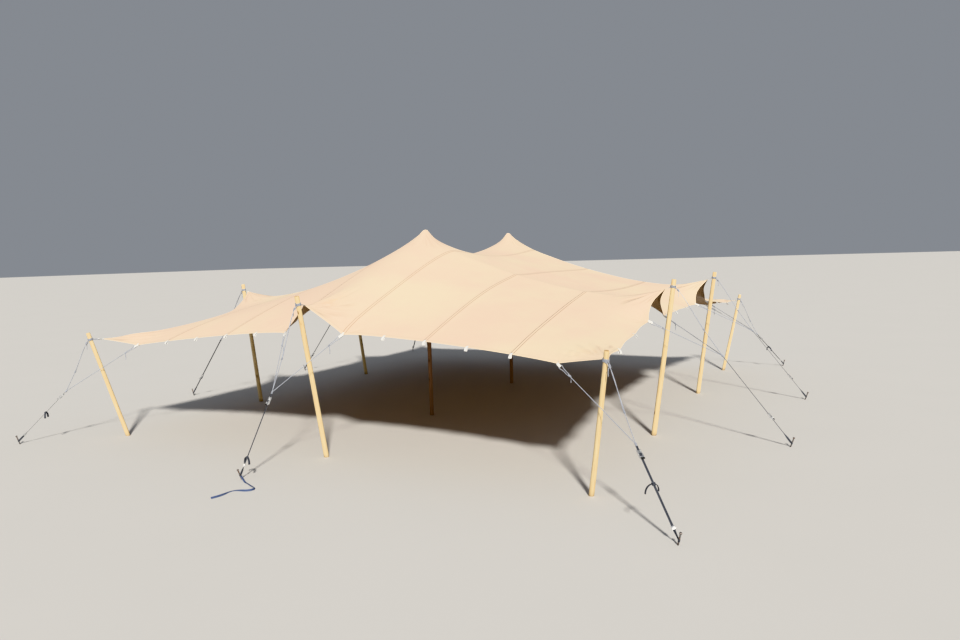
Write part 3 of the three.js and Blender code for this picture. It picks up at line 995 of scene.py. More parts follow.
@dataclass
class Net:
    """The elastic net that the cloth settles as, with the points that hold its quarter with +X and +Y."""

    width: float = CLOTH_WIDTH
    length: float = CLOTH_LENGTH
    tabs_across: int = 14
    tabs_along: int = 13
    side_pole_tab: int = 4
    peak_along: float = 3.8
    peak: Point = (0.0, 2.2, 4.255)
    corner_tip: Point = (5.5, 6.4, 2.09)
    corner_tab: Point = (4.65, 6.2, 1.96)
    corner_hang: Point = (5.37, 5.4, 2.085)
    edge_tip: Point = (0.0, 6.37, 2.82)
    edge_tab: Point = (0.66, 6.17, 2.3)
    side_tip: Point = (5.37, 2.3, 2.87)
    near_side_tab: Point = (5.2, 1.68, 2.3)
    far_side_tab: Point = (5.2, 2.92, 2.3)
    bias: float = 0.3
    hem_pull: float = 6.0
    fullness_across: float = 0.045
    fullness_along: float = 0.025
    fullness_hem: float = -0.045
    share: float = 0.1
    carry: float = 0.97
    coarse_cells: int = 2
    passes: tuple[tuple[int, int], ...] = ((2, 3000), (4, 1200), (8, 900))

    @property
    def finest_cells(self) -> int:
        """Returns the grid cells from one tab to the next in the finest net."""
        return self.passes[-1][0]

    def peak_row(self, cells: int) -> int:
        """Returns how many grid rows lie between a peak and the nearer end."""
        return round(self.peak_along / self.length * self.tabs_along * cells)

    def held(self, cells: int) -> tuple[Array, Array]:
        """Finds the grid points that poles and ropes hold.

        Args:
            cells: Grid cells from one tab to the next.

        Returns:
            Which grid points are held, and where each of them is.
        """
        wide, long = self.tabs_across * cells, self.tabs_along * cells
        middle, row = wide // 2, self.side_pole_tab * cells
        quarter = (
            (0, 0, self.corner_tip),
            (cells, 0, self.corner_tab),
            (0, cells, self.corner_hang),
            (middle, 0, self.edge_tip),
            (middle - cells, 0, self.edge_tab),
            (0, row, self.side_tip),
            (0, row + cells, self.near_side_tab),
            (0, row - cells, self.far_side_tab),
            (middle, self.peak_row(cells), self.peak),
        )
        fixed = np.zeros((wide + 1, long + 1), bool)
        places = np.zeros((wide + 1, long + 1, 3))
        for sx, sy in QUARTERS:
            for from_side, from_end, point in quarter:
                at = (from_side if sx < 0 else wide - from_side, from_end if sy < 0 else long - from_end)
                fixed[at] = True
                places[at] = np.multiply(point, (sx, sy, 1))
        return fixed, places

    def settle(self, cells: int, rounds: int, start: Array) -> Array:
        """Lets the net pull itself still between its held points. A thread pulls, and never pushes.

        Args:
            cells: Grid cells from one tab to the next.
            rounds: How often every point follows its threads.
            start: The grid to start from.

        Returns:
            The settled grid.
        """
        fixed, places = self.held(cells)
        wide, long = self.tabs_across * cells, self.tabs_along * cells
        grid = np.where(fixed[..., None], places, start)
        step_x, step_y = self.width / wide, self.length / long
        hem = self.hem_pull * cells / self.coarse_cells
        pull_x = np.ones((wide, long + 1, 1))
        pull_x[:, [0, -1]] = 0.5 + hem
        pull_y = np.ones((wide + 1, long, 1))
        pull_y[[0, -1]] = 0.5 + hem
        cut_x = np.full(pull_x.shape, step_x * (1 + self.fullness_across))
        cut_x[:, [0, -1]] = step_x * (1 + self.fullness_hem)
        cut_y = np.full(pull_y.shape, step_y * (1 + self.fullness_along))
        cut_y[[0, -1]] = step_y * (1 + self.fullness_hem)
        cut_bias = math.hypot(step_x, step_y)
        ends = np.s_
        families = (
            (ends[:-1, :], ends[1:, :], cut_x, pull_x),
            (ends[:, :-1], ends[:, 1:], cut_y, pull_y),
            (ends[:-1, :-1], ends[1:, 1:], cut_bias, self.bias),
            (ends[1:, :-1], ends[:-1, 1:], cut_bias, self.bias),
        )
        follow = self.share / (2 * (2 + self.bias + hem)) * self.coarse_cells / cells
        free = (~fixed)[..., None]
        speed = np.zeros_like(grid)
        for _ in range(rounds):
            pulls = np.zeros_like(grid)
            for first, second, cut, stiffness in families:
                thread = grid[second] - grid[first]
                length = np.sqrt((thread * thread).sum(-1, keepdims=True) + 1e-12)
                tug = thread * (stiffness * np.maximum(length - cut, 0) / (cut * length))
                pulls[first] += tug
                pulls[second] -= tug
            speed = (speed * self.carry + pulls * follow) * free
            grid = grid + speed
        return grid

    def solve(self) -> Array:
        """Settles the net on a coarse grid and then on finer ones.

        Returns:
            The finest grid, across by along by three.
        """
        x, y = self.width / 2, self.length / 2
        grid = np.stack(np.meshgrid([-x, x], [-y, y], self.edge_tip[2], indexing="ij"), -1)[:, :, 0]
        for cells, rounds in self.passes:
            across = np.linspace(0, 1, self.tabs_across * cells + 1)
            along = np.linspace(0, 1, self.tabs_along * cells + 1)
            grid = self.settle(cells, rounds, grid_between(grid, across, along, straight=True))
        return grid


def between_weights(count: int, shares: Array, straight: bool) -> Array:
    """Weighs the points of an even row for places between them.

    Args:
        count: How many points the row has.
        shares: The wanted places, from 0 at the first point to 1 at the last.
        straight: Whether straight lines or smooth curves join the points.

    Returns:
        One row of weights for each wanted place.
    """
    at = np.clip(shares, 0, 1) * (count - 1)
    low = np.minimum(at.astype(int), count - 2)
    t = at - low
    parts = (
        (-1, (-t + 2 * t**2 - t**3) / 2),
        (0, (2 - 5 * t**2 + 3 * t**3) / 2),
        (1, (t + 4 * t**2 - 3 * t**3) / 2),
        (2, (-(t**2) + t**3) / 2),
    )
    weights = np.zeros((len(at), count))
    rows = np.arange(len(at))
    for offset, weight in ((0, 1 - t), (1, t)) if straight else parts:
        index = low + offset
        # Past an end the row goes on straight.
        past = (index < 0) | (index > count - 1)
        inward = np.where(index < 0, 1, count - 2)
        np.add.at(weights, (rows, np.clip(index, 0, count - 1)), np.where(past, 2 * weight, weight))
        np.add.at(weights, (rows, inward), np.where(past, -weight, 0))
    return weights


def grid_between(grid: Array, across: Array, along: Array, straight: bool = False) -> Array:
    """Reads a grid at every pair of places across and along it.

    Args:
        grid: An array across by along by three.
        across: The wanted places across, as shares of the whole.
        along: The wanted places along, as shares of the whole.
        straight: Whether straight lines or smooth curves join its points.

    Returns:
        The places, across by along by three.
    """
    first = between_weights(grid.shape[0], across, straight)
    second = between_weights(grid.shape[1], along, straight)
    return np.einsum("ai,bj,ijk->abk", first, second, grid, optimize=True)


@dataclass(frozen=True)
class EdgePlace:
    """A place on the cloth's edge: where it is, and the ways out of the cloth and up from it."""

    root: Array
    out: Array
    normal: Array

    @property
    def tangent(self) -> Array:
        """Returns the direction along the edge."""
        return unit(np.cross(self.normal, self.out))


@dataclass
class Cloth:
    """The canopy: the settled net as a smooth, folded, welded and hemmed sheet."""

    net: Net = field(default_factory=Net)
    fine: float = 0.031
    coarse: float = 0.1
    fine_reach: float = 0.75
    easing: float = 0.7
    closest_lines: float = 0.011
    thickness: float = 0.0016
    weld_extra: float = 0.0012
    hem_extra: float = 0.0022
    patch_extra: float = 0.0016
    patch_radius: float = PATCH_RADIUS
    hem: float = HEM
    overlap: float = WELD_OVERLAP
    roll: float = ROLL
    upper_share: float = 0.7
    weld_step: float = 0.0025
    on_line: float = 1e-4
    peak_steps: tuple[float, ...] = (0.0, 0.009, 0.019, 0.03, 0.043, 0.06, 0.08)
    cap_clearance: float = 0.003
    peak_slope: float = math.radians(52.0)
    peak_softness: float = 0.012
    seated: tuple[float, float] = (0.02, 0.09)
    drape_ends: tuple[float, float] = (0.55, 0.25)
    ripple: float = 0.004
    ripple_scale: Point = (1.1, 0.8, 3.7)
    calm_hem: float = 0.15
    calm_share: float = 0.2
    scallop: float = 0.032
    scallop_reach: float = 0.4
    tab_step: float = 0.022
    seed: int = 11

    def __post_init__(self) -> None:
        """Settles the net and chooses the folds."""
        self.grid = self.net.solve()
        self.folds = [*self.named_folds(), *self.loose_folds()]

    @property
    def size(self) -> tuple[float, float]:
        """Returns the flat cloth's width and length."""
        return self.net.width, self.net.length

    @property
    def tab_spacing(self) -> tuple[float, float]:
        """Returns how far apart the tabs are across and along the cloth."""
        return self.net.width / self.net.tabs_across, self.net.length / self.net.tabs_along

    @property
    def side_pole_row(self) -> float:
        """Returns how far along the cloth its first side pole is."""
        return self.net.side_pole_tab * self.tab_spacing[1]

    @property
    def peak_rows(self) -> tuple[float, float]:
        """Returns how far along the cloth its two peaks are."""
        cells = self.net.finest_cells
        row = self.net.peak_row(cells) * self.net.length / (self.net.tabs_along * cells)
        return row, self.net.length - row

    def mirrored(self, fold: Fold) -> list[Fold]:
        """Returns a fold of the front left quarter in all four quarters."""
        far = [np.where(np.array(signs) > 0, self.size, 0) for signs in QUARTERS]
        ends = [[tuple(np.abs(off - end)) for end in (fold.start, fold.end)] for off in far]
        return [replace(fold, start=start, end=end) for start, end in ends]

    def named_folds(self) -> list[Fold]:
        """Lists the folds that the pull of the poles leaves at the same places of every quarter.

        Returns:
            The folds of all four quarters.
        """
        middle = self.net.width / 2
        quarter = [
            # From a peak to the tip at a side pole.
            Ridge((middle - 0.25, self.peak_rows[0]), (0.3, self.side_pole_row), 0.055, 0.34),
            # From a corner's tip into the cloth.
            Fold((0.08, 0.035), (0.95, 0.24), 0.026, 0.045, 0.7),
            Fold((0.09, 0.06), (1.0, 0.5), 0.042, 0.048, 0.62),
            Fold((0.08, 0.08), (0.88, 0.8), 0.045, 0.05, 0.6),
            Fold((0.06, 0.09), (0.6, 1.02), 0.036, 0.05, 0.6),
            Fold((0.04, 0.1), (0.26, 1.1), 0.024, 0.05, 0.7),
            # Back from the tip at a middle pole, along the ridge of its lifted edge.
            Fold((middle - 0.05, 0.03), (middle - 0.06, 1.6), 0.048, 0.05, 0.6),
            Fold((middle - 0.16, 0.1), (middle - 0.24, 1.4), 0.04, 0.05, 0.65),
            Fold((middle - 0.14, 0.05), (middle - 0.55, 0.9), 0.032, 0.048, 0.7),
            Fold((middle - 0.3, 0.08), (middle - 0.85, 0.5), 0.02, 0.05, 0.8),
            # Up from the hem beside the lifted edge.
            Fold((middle - 1.55, 0.06), (middle - 1.2, 0.5), 0.012, 0.055),
            Fold((middle - 1.95, 0.3), (middle - 1.45, 0.95), 0.011, 0.06, 1.0),
            Fold((middle - 1.2, 0.05), (middle - 0.95, 0.4), 0.01, 0.05),
        ]
        return [one for fold in quarter for one in self.mirrored(fold)]

    def loose_folds(self) -> list[Fold]:
        """Lists the folds that run out from every held place, each a little different.

        Returns:
            The folds.
        """
        wide, long = self.size
        tab_x, tab_y = self.tab_spacing
        row = self.side_pole_row
        corner, by_middle, by_corner = Fan(3, 0.008, 1.7, 23), Fan(3, 0.011, 0.7, 55), Fan(4, 0.012, 0.7, 65)
        side, by_side, peak = Fan(5, 0.018, 1.2, 60), Fan(3, 0.012, 0.6, 55), Fan(7, 0.004, 0.8, 180)
        fans = [(corner, 0, 0, 45), (corner, wide, 0, 135), (corner, wide, long, 225), (corner, 0, long, 315)]
        for y, turn in ((0.0, 90), (long, 270)):
            fans += [(by_middle, x, y, turn) for x in (wide / 2 - tab_x, wide / 2 + tab_x)]
            fans += [(by_corner, x, y, turn) for x in (tab_x, wide - tab_x)]
        for x, turn in ((0.0, 0), (wide, 180)):
            for y in (row, long - row):
                fans.append((side, x, y, turn))
                fans += [(by_side, x, tab, turn) for tab in (y - tab_y, y + tab_y)]
        fans += [(peak, wide / 2, y, 180) for y in self.peak_rows]
        rng = np.random.default_rng(self.seed)
        return [fold for fan, *place in fans for fold in fan.folds(rng, *place)]

    def graded(self, length: float, centres: Sequence[float], fixed: Sequence[float]) -> Array:
        """Spaces grid lines closer near some places, and puts one at each fixed place and at the hems.

        Args:
            length: The side's length.
            centres: The places between its ends that are finely divided round about, as the ends are.
            fixed: The places that get a line whatever the spacing.

        Returns:
            The places of all the lines.
        """
        steps = np.linspace(0, length, 6001)
        away = np.min([np.abs(steps - centre) for centre in (0, *centres, length)], axis=0)
        wide = eased(away, self.fine_reach, self.fine_reach + self.easing)
        spacing = self.fine + (self.coarse - self.fine) * wide
        count = np.concatenate([[0], np.cumsum(np.diff(steps) / spacing[1:])])
        lines = np.interp(np.linspace(0, count[-1], round(count[-1]) + 1), count, steps)
        hem = np.array([0.0, self.hem, self.hem + self.weld_step])
        fixed = np.concatenate([hem, length - hem, fixed])
        apart = np.min(np.abs(lines[:, None] - fixed[None]), axis=1)
        return np.unique(np.round(np.concatenate([lines[apart > self.closest_lines], fixed]), 5))

    def columns(self) -> Array:
        """Returns the sheet's columns in cloth metres, with lines at the welds, the hem and the peaks."""
        half, middle = self.overlap / 2, self.net.width / 2
        off_seam = (-half, -half - self.weld_step, half, half + self.weld_step)
        seams = np.arange(self.roll, self.net.width - self.hem, self.roll)
        fixed = [seam + off for seam in seams for off in off_seam]
        fixed += [middle + side * step for side in (-1, 1) for step in self.peak_steps]
        return self.graded(self.net.width, (middle,), fixed)

    def rows(self) -> Array:
        """Returns the sheet's rows in cloth metres, with lines at the hem and the peaks."""
        fixed = [row + side * step for row in self.peak_rows for side in (-1, 1) for step in self.peak_steps]
        return self.graded(self.net.length, self.peak_rows, fixed)

    def surface(self, columns: Array, rows: Array) -> tuple[Array, Array]:
        """Reads the cloth's middle surface, with its folds and its side hems drawn in between their tabs.

        Args:
            columns: Cloth metres across.
            rows: Cloth metres along.

        Returns:
            The places and the upward normals, each across by along by three.
        """
        wide, long = self.size
        grid = grid_between(self.grid, columns / wide, rows / long)
        x, y = np.meshgrid(columns, rows, indexing="ij")
        stretch_x, stretch_y, depth = self.ripple_scale
        ripples = [noise.noise(Vector((a * stretch_x, b * stretch_y, depth))) for a, b in zip(x.flat, y.flat)]
        lift = sum((fold.lift(x, y) for fold in self.folds), self.ripple * np.reshape(ripples, x.shape))
        edge = np.minimum(np.minimum(x, wide - x), np.minimum(y, long - y))
        lift *= np.clip(edge / self.calm_hem, self.calm_share, 1)
        grid = grid + self.normals(grid) * lift[..., None]
        drawn_in = self.scallop * np.sin(math.pi * y / self.tab_spacing[1]) ** 2
        for to_side, inward in ((x, 1), (wide - x, -1)):
            grid[..., 0] += inward * drawn_in * np.clip(1 - to_side / self.scallop_reach, 0, 1) ** 2
        self.drape_over_caps(grid)
        return grid, self.normals(grid)

    @staticmethod
    def normals(grid: Array) -> Array:
        """Returns the upward normals of a grid."""
        return unit(np.cross(np.gradient(grid, axis=0), np.gradient(grid, axis=1)))

    def drape_over_caps(self, grid: Array) -> None:
        """Lays the cloth over the rounded caps of the main poles, and off them at a slope.

        Args:
            grid: The surface, whose heights are changed.
        """
        slope = self.peak_slope
        for end in ("front", "back"):
            low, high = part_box(f"main_pole_cap_{end}")
            cap = (high.x - low.x) / 2
            radius = cap + self.thickness / 2 + self.cap_clearance
            centre = high.z - cap
            away = np.hypot(grid[..., 0] - (low.x + high.x) / 2, grid[..., 1] - (low.y + high.y) / 2)
            leaves = radius * math.sin(slope)
            dome = centre + np.sqrt(np.maximum(radius**2 - away**2, 0))
            falling = centre + radius * math.cos(slope) - (away - leaves) * math.tan(slope)
            rest = np.where(away < leaves, dome, falling)
            gap = grid[..., 2] - rest
            above = 0.5 * (gap + np.sqrt(gap * gap + 4 * self.peak_softness**2)) - self.peak_softness * 0.3
            draped = rest + above * eased(away, *self.seated)
            grid[..., 2] += (draped - grid[..., 2]) * eased(away, *self.drape_ends)

    def build(self) -> Piece:
        """Builds the canopy as one closed sheet.

        Returns:
            The canopy.
        """
        wide, long = self.size
        columns, rows = self.columns(), self.rows()
        middle, normal = self.surface(columns, rows)
        x, y = np.meshgrid(columns, rows, indexing="ij")
        off_seam = np.abs((x / self.roll + 0.5) % 1 - 0.5) * self.roll
        to_side = np.minimum(x, wide - x)
        to_edge = np.minimum(to_side, np.minimum(y, long - y))
        welded = (off_seam < self.overlap / 2 + self.on_line) & (to_side > SEAMS_END_BEFORE_SIDE)
        extra = np.where(welded, self.weld_extra, 0.0)
        extra = np.where(to_edge < self.hem + self.on_line, self.hem_extra, extra)
        from_peak = np.min([np.hypot(x - wide / 2, y - row) for row in self.peak_rows], axis=0)
        patch = np.where(from_peak < self.patch_radius, self.patch_extra, 0.0)
        half = self.thickness / 2
        upper = middle + normal * (half + extra * self.upper_share)[..., None]
        lower = middle - normal * (half + extra * (1 - self.upper_share) + patch)[..., None]
        number = np.arange(x.size).reshape(x.shape)
        a, b, c, d = number[:-1, :-1], number[1:, :-1], number[1:, 1:], number[:-1, 1:]
        tops = np.stack([a, b, c, d], -1).reshape(-1, 4)
        under = np.stack([a, d, c, b], -1).reshape(-1, 4) + number.size
        rim = np.concatenate([number[:, 0], number[-1, 1:], number[-2::-1, -1], number[0, -2:0:-1]])
        after = np.roll(rim, -1)
        sides = np.stack([rim, rim + number.size, after + number.size, after], -1)
        points = np.concatenate([upper.reshape(-1, 3), lower.reshape(-1, 3)])
        piece = new_piece("stretch_canopy", points, np.concatenate([tops, under, sides]))
        store(piece, "cloth_metres", np.stack([np.stack([x, y, from_peak], -1)] * 2))
        store(piece, "pull", np.stack([self.pulls(x, y)] * 2))
        # The underside faces take the darker copy of the cloth finish, which paints the shade under the
        # canopy.
        indices = np.zeros(len(piece.data.polygons), np.int32)
        indices[len(tops) : len(tops) + len(under)] = 1
        piece.data.polygons.foreach_set("material_index", indices)
        soften(piece, 60)
        settle(piece, Slot.CLOTH, CLOTH_TOP, SHADED_CLOTH_UNDER)
        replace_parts(piece, "canopy")
        return piece

    def pulls(self, x: Array, y: Array) -> Array:
        """Finds the pull of the nearest held place on each point of the cloth.

        Args:
            x: Cloth metres across, of any shape.
            y: Cloth metres along, alike.

        Returns:
            The direction from that place, and how many metres wide its wrinkles are there.
        """
        wide, long = self.size
        tab_x, tab_y = self.tab_spacing
        row = self.side_pole_row
        places = [(0.0, 0.0, 1.0), (tab_x, 0.0, 0.42), (wide / 2, 0.0, 0.95), (wide / 2 - tab_x, 0.0, 0.45)]
        places += [(0.0, row, 0.95), (0.0, row - tab_y, 0.45), (0.0, row + tab_y, 0.45)]
        places += [(wide / 2, self.peak_rows[0], 0.6)]
        way = np.zeros((*x.shape, 2))
        nearest, second = np.full(x.shape, 9.0), np.full(x.shape, 9.0)
        wrinkle = np.zeros(x.shape)
        for place_x, place_y, reach in places:
            for at_x in {place_x, wide - place_x}:
                for at_y in {place_y, long - place_y}:
                    away = np.hypot(x - at_x, y - at_y)
                    share = away / reach
                    closer = share < nearest
                    second = np.where(closer, nearest, np.minimum(second, share))
                    nearest = np.where(closer, share, nearest)
                    wrinkle = np.where(closer, away, wrinkle)
                    out = np.stack([x - at_x, y - at_y], -1) / np.maximum(away, 1e-6)[..., None]
                    way = np.where(closer[..., None], out, way)
        fade = np.clip(1 - nearest, 0, 1)
        return np.dstack([way, wrinkle * eased(second - nearest, 0, 0.9) * fade * (2 - fade)])

    def edge_place(self, i: int, j: int) -> EdgePlace:
        """Reads the finished cloth at a tab.

        Args:
            i: The tab's number across.
            j: The tab's number along.

        Returns:
            The place on the edge, with its directions.
        """
        net = self.net
        inward = np.array([(i == 0) - (i == net.tabs_across), (j == 0) - (j == net.tabs_along)], float)
        lines, here, inside = [], [], []
        for number, spacing, pull in zip((i, j), self.tab_spacing, inward / np.hypot(*inward)):
            # Where the edge runs along this way, the steps go to both sides of the tab.
            steps = np.arange(3) * pull if pull else np.arange(-1, 2)
            line = number * spacing + steps * self.tab_step
            order = np.argsort(line).tolist()
            lines.append(line[order])
            here.append(order.index(0 if pull else 1))
            inside.append(order.index(2 if pull else 1))
        places, normals = self.surface(*lines)
        root = places[tuple(here)]
        return EdgePlace(root, unit(root - places[tuple(inside)]), unit(normals[tuple(here)]))


@dataclass
class Tab:
    """A white webbing loop sewn to both faces of the hem. A shape is its belly, nose and share of length."""

    width: float = 0.044
    thickness: float = 0.0018
    overlap: float = 0.045
    length: float = 0.085
    droop: float = 0.9
    gap: float = 0.0042
    sewn_from: float = 0.003
    pulled_shape: Point = (0.009, 0.006, 1.0)
    hanging_shape: Point = (0.015, 0.013, 0.9)
    step: float = 0.006

    def direction(self, place: EdgePlace, target: Array | None) -> Array:
        """Finds the way that the loop points: at what its rope goes to, or out and down.

        Args:
            place: The tab's place on the edge.
            target: What its rope goes to, or None.

        Returns:
            The direction.
        """
        if target is None:
            return unit(place.out - UP * self.droop)
        return unit(target - place.root)

    def build(self, place: EdgePlace, target: Array | None) -> Piece:
        """Builds one loop.

        Args:
            place: The tab's place on the edge.
            target: What its rope goes to, or None.

        Returns:
            The loop.
        """
        z = self.direction(place, target)
        x = square_to(place.tangent, z)
        face = np.cross(z, x)
        if face @ (place.normal + place.out) < 0:
            face = -face
        belly, nose, share = self.hanging_shape if target is None else self.pulled_shape
        reach = self.length * share
        inside = -np.array([self.overlap, self.overlap / 2, self.sewn_from])
        sewn = points_from(place.root, (inside, place.out), (self.gap, place.normal))
        under = points_from(place.root, (inside[::-1], place.out), (-self.gap, place.normal))
        half = [(0.02, belly * 0.7), (reach * 0.4, belly * 0.9), (reach * 0.68, belly)]
        half += [(reach - nose, nose * 1.1), (reach - nose * 0.3, nose * 0.65)]
        out, off = np.transpose([*half, (reach, 0.0), *((u, -v) for u, v in half[::-1])])
        hanging = points_from(place.root, (out, z), (off, face))
        route = smooth_route([*sewn, *hanging, *under], self.step)
        return FlatWebbing(self.width, self.thickness).build(route, x)


@dataclass
class RoundPole:
    """A debarked round pole that leans from its foot to its head, sawn level at the ground."""

    name: str
    foot: Array
    head: Array
    foot_radius: float
    head_radius: float
    seed: int
    sides: int = 32
    rings: int = 44
    chamfer: float = 0.006
    buried: float = 0.12
    bow: float = 0.006
    roughness: float = 0.04
    knot_swell: float = 0.05
    knot_height: float = 0.035
    knot_turn: float = 0.45
    finish: WoodFinish = PALE_WOOD

    def build(self) -> Piece:
        """Builds the pole.

        Returns:
            The pole, with its grain's metres kept on it.
        """
        length = float(np.linalg.norm(self.head - self.foot))
        depth = length + self.buried
        piece = cylinder(self.foot_radius, depth, (0, 0, (length - self.buried) / 2), self.sides)
        top = length - 1e-4
        taper = self.head_radius / self.foot_radius
        with editing(piece, "VERT"):
            pick(piece, "verts", lambda v: v.co.z > top)
            bpy.ops.transform.resize(value=(taper, taper, 1), center_override=(0, 0, length))
            bpy.ops.mesh.select_mode(type="EDGE")
            pick(piece, "edges", lambda e: abs(e.verts[0].co.z - e.verts[1].co.z) > depth / 2)
            bpy.ops.mesh.subdivide(number_cuts=self.rings)
            pick(piece, "edges", lambda e: min(e.verts[0].co.z, e.verts[1].co.z) > top)
            bpy.ops.mesh.bevel(offset=self.chamfer, segments=3, affect="EDGES")
            bpy.ops.mesh.select_mode(type="FACE")
            pick(piece, "faces", lambda f: f.normal.z > 0.99 and f.calc_center_median().z > top)
            bpy.ops.mesh.inset(thickness=self.head_radius * 0.22)
            bpy.ops.mesh.inset(thickness=self.head_radius * 0.25, depth=-0.0006)
        named(piece, self.name)
        self.roughen(piece, length)
        piece.data.transform(basis(self.foot, self.head - self.foot))
        cut_level(piece, 0.0)
        settle(piece, Slot.WOOD, self.finish, END_GRAIN)
        axis = Vector(unit(self.head - self.foot))
        for face in piece.data.polygons:
            face.material_index = int(abs(face.normal.dot(axis)) > 0.9)
        soften(piece)
        return piece

    def roughen(self, piece: Piece, length: float) -> None:
        """Makes the straight pole a grown one: bowed, not quite round, and swollen at its knots.

        Args:
            piece: The upright pole.
            length: Its length above the ground.
        """
        rng = np.random.default_rng(self.seed)
        points = np.array([vertex.co for vertex in piece.data.vertices])
        turns, heights = np.arctan2(points[:, 1], points[:, 0]), points[:, 2]
        store(piece, "pole_metres", points + UP * 7.3 * self.seed)
        bow_way = rng.uniform(0, math.tau)
        count = max(3, int(length * 2))
        knots = [(rng.uniform(0.15, length), rng.uniform(0, math.tau)) for _ in range(count)]
        scale = np.ones(len(points))
        for n, (turn, height) in enumerate(zip(turns, heights)):
            shape = Vector((math.cos(turn) * 0.9, math.sin(turn) * 0.9, height * 1.6 + 5.0 * self.seed))
            scale[n] += self.roughness * noise.noise(shape)
        for height, turn in knots:
            apart = np.angle(np.exp(1j * (turns - turn)))
            near = ((heights - height) / self.knot_height) ** 2 + (apart / self.knot_turn) ** 2
            scale += self.knot_swell * np.exp(-near)
        sway = self.bow * np.sin(np.clip(heights / length, 0, 1) * math.pi)
        points[:, :2] *= scale[:, None]
        points[:, :2] += np.outer(sway, [math.cos(bow_way), math.sin(bow_way)])
        piece.data.vertices.foreach_set("co", points.astype(np.float32).ravel())
        piece.data.update()


@dataclass
class RatchetBuckle:
    """A ratchet tensioner in its own frame, whose Z runs down the strap from its upper end."""

    length: float = 0.15
    width: float = 0.052
    plate: float = 0.003
    height: float = 0.034
    spindle: float = 0.011
    slot: float = 0.0032
    pin: float = 0.0045
    latch: float = 0.003
    tooth: float = 0.83
    handle_tilt: float = math.radians(-7)
    grip_ribs: int = 10
    across: Point = (0, math.pi / 2, 0)

    def build(self) -> tuple[Piece, Piece]:
        """Builds the buckle once, to be copied.

        Returns:
            The steel parts and the grip.
        """
        steel = join("ratchet_master", [*self.cheeks(), self.base(), *self.turning(), *self.handle()])
        soften(steel, 30)
        return steel, self.grip()

    def rounded_plate(self, size: Point, at: Point, corner: float, segments: int, tilt: float = 0.0) -> Piece:
        """Adds an upright plate with rounded corners.

        Args:
            size: Its thickness, depth and length.
            at: Its middle.
            corner: The radius of its corners.
            segments: How many faces each corner has.
            tilt: Its turn about X.

        Returns:
            The plate.
        """
        plate = slab(size, at, (tilt, 0, 0))
        with editing(plate, "EDGE"):
            pick_across(plate, self.plate / 2)
            bpy.ops.mesh.bevel(offset=corner, segments=segments, affect="EDGES")
        return plate

    def cheeks(self) -> list[Piece]:
        """Returns the two side plates, sunk a little inside their rims."""
        size = (self.plate, self.height * 0.84, self.length * 0.9)
        plates = []
        for side in (-1, 1):
            plate = self.rounded_plate(size, (side * self.width / 2, 0, self.length * 0.45), 0.011, 5)
            with editing(plate, "FACE"):
                pick(plate, "faces", lambda f, s=side: f.normal.x * s > 0.9)
                bpy.ops.mesh.inset(thickness=0.004)
                bpy.ops.mesh.inset(thickness=0.001, depth=-0.0008)
            ease(plate, 0.0006, 1)
            plates.append(plate)
        return plates

    def base(self) -> Piece:
        """Returns the plate that joins the cheeks, with its ends turned down."""
        size = (self.width - self.plate, self.plate * 0.8, self.length * 0.42)
        plate = slab(size, (0, -self.height * 0.28, self.length * 0.24))
        with editing(plate, "FACE"):
            pick(plate, "faces", lambda f: abs(f.normal.z) > 0.9)
            bpy.ops.mesh.extrude_faces_move(TRANSFORM_OT_shrink_fatten={"value": 0.006})
            bpy.ops.transform.translate(value=(0, -0.003, 0))
        ease(plate, 0.0008)
        return plate

    def turning(self) -> list[Piece]:
        """Returns the slotted spindle, its toothed wheels, and the pins of the fixed strap and the latch."""
        middle = self.length / 2
        drum = cylinder(self.spindle, self.width + 0.012, (0, 0, middle), 28, self.across)
        slot = slab((self.width * 0.8, self.slot, self.spindle * 3), (0, 0, middle))
        modify(drum, "BOOLEAN", operation="DIFFERENCE", object=slot)
        bpy.data.objects.remove(slot)
        ease(drum, 0.0008)
        parts = [drum]
        for side in (-1, 1):
            at = (side * (self.width / 2 - self.plate * 1.4), 0, middle)
            wheel = cylinder(self.spindle * 1.62, self.plate, at, 32, self.across)
            ring = sorted(wheel.data.vertices, key=self.turn_of)
            lower = {vertex.index for order, vertex in enumerate(ring) if order % 4 < 2}
            with editing(wheel, "VERT"):
                pick(wheel, "verts", lambda v, low=lower: v.index in low)
                bpy.ops.transform.resize(value=(1, self.tooth, self.tooth), center_override=at)
            parts.append(wheel)
        latch_at = (0, self.height * 0.22, self.length * 0.33)
        parts.append(cylinder(self.pin, self.width + 0.008, (0, 0, self.length * 0.1), 16, self.across))
        parts.append(cylinder(self.latch, self.width + 0.01, latch_at, 12, self.across))
        return parts

    def turn_of(self, corner: bpy.types.MeshVertex) -> tuple[int, int]:
        """Returns a wheel corner's angle about the spindle as a whole number, and its side."""
        x, y, z = corner.co
        return round(math.degrees(math.atan2(y, z - self.length / 2))), round(x * 1e5)

    def handle(self) -> list[Piece]:
        """Returns the folded handle's two arms and the bar that joins them."""
        size = (self.plate * 0.9, self.height * 0.5, self.length * 0.56)
        parts = []
        for side in (-1, 1):
            at = (side * (self.width / 2 + self.plate * 1.3), self.height * 0.3, self.length * 0.7)
            parts.append(self.rounded_plate(size, at, 0.006, 4, self.handle_tilt))
            ease(parts[-1], 0.0005, 1)
        size = (self.width + self.plate * 2, self.plate * 0.9, self.length * 0.2)
        parts.append(slab(size, (0, self.height * 0.42, self.length * 0.78)))
        ease(parts[-1], 0.001)
        return parts

    def grip(self) -> Piece:
        """Returns the ribbed grip at the handle's end."""
        size = (self.width + self.plate * 3, self.height * 0.4, self.length * 0.16)
        step = size[0] / self.grip_ribs
        grip = named(slab(size, (0, self.height * 0.5, self.length * 0.92)), "ratchet_grip_master")

        def ribbed(face: bmesh.types.BMFace) -> bool:
            """Returns whether a face of the long sides is one of every other rib."""
            return abs(face.normal.x) < 0.5 and int((face.calc_center_median().x + 1) / step) % 2 == 0

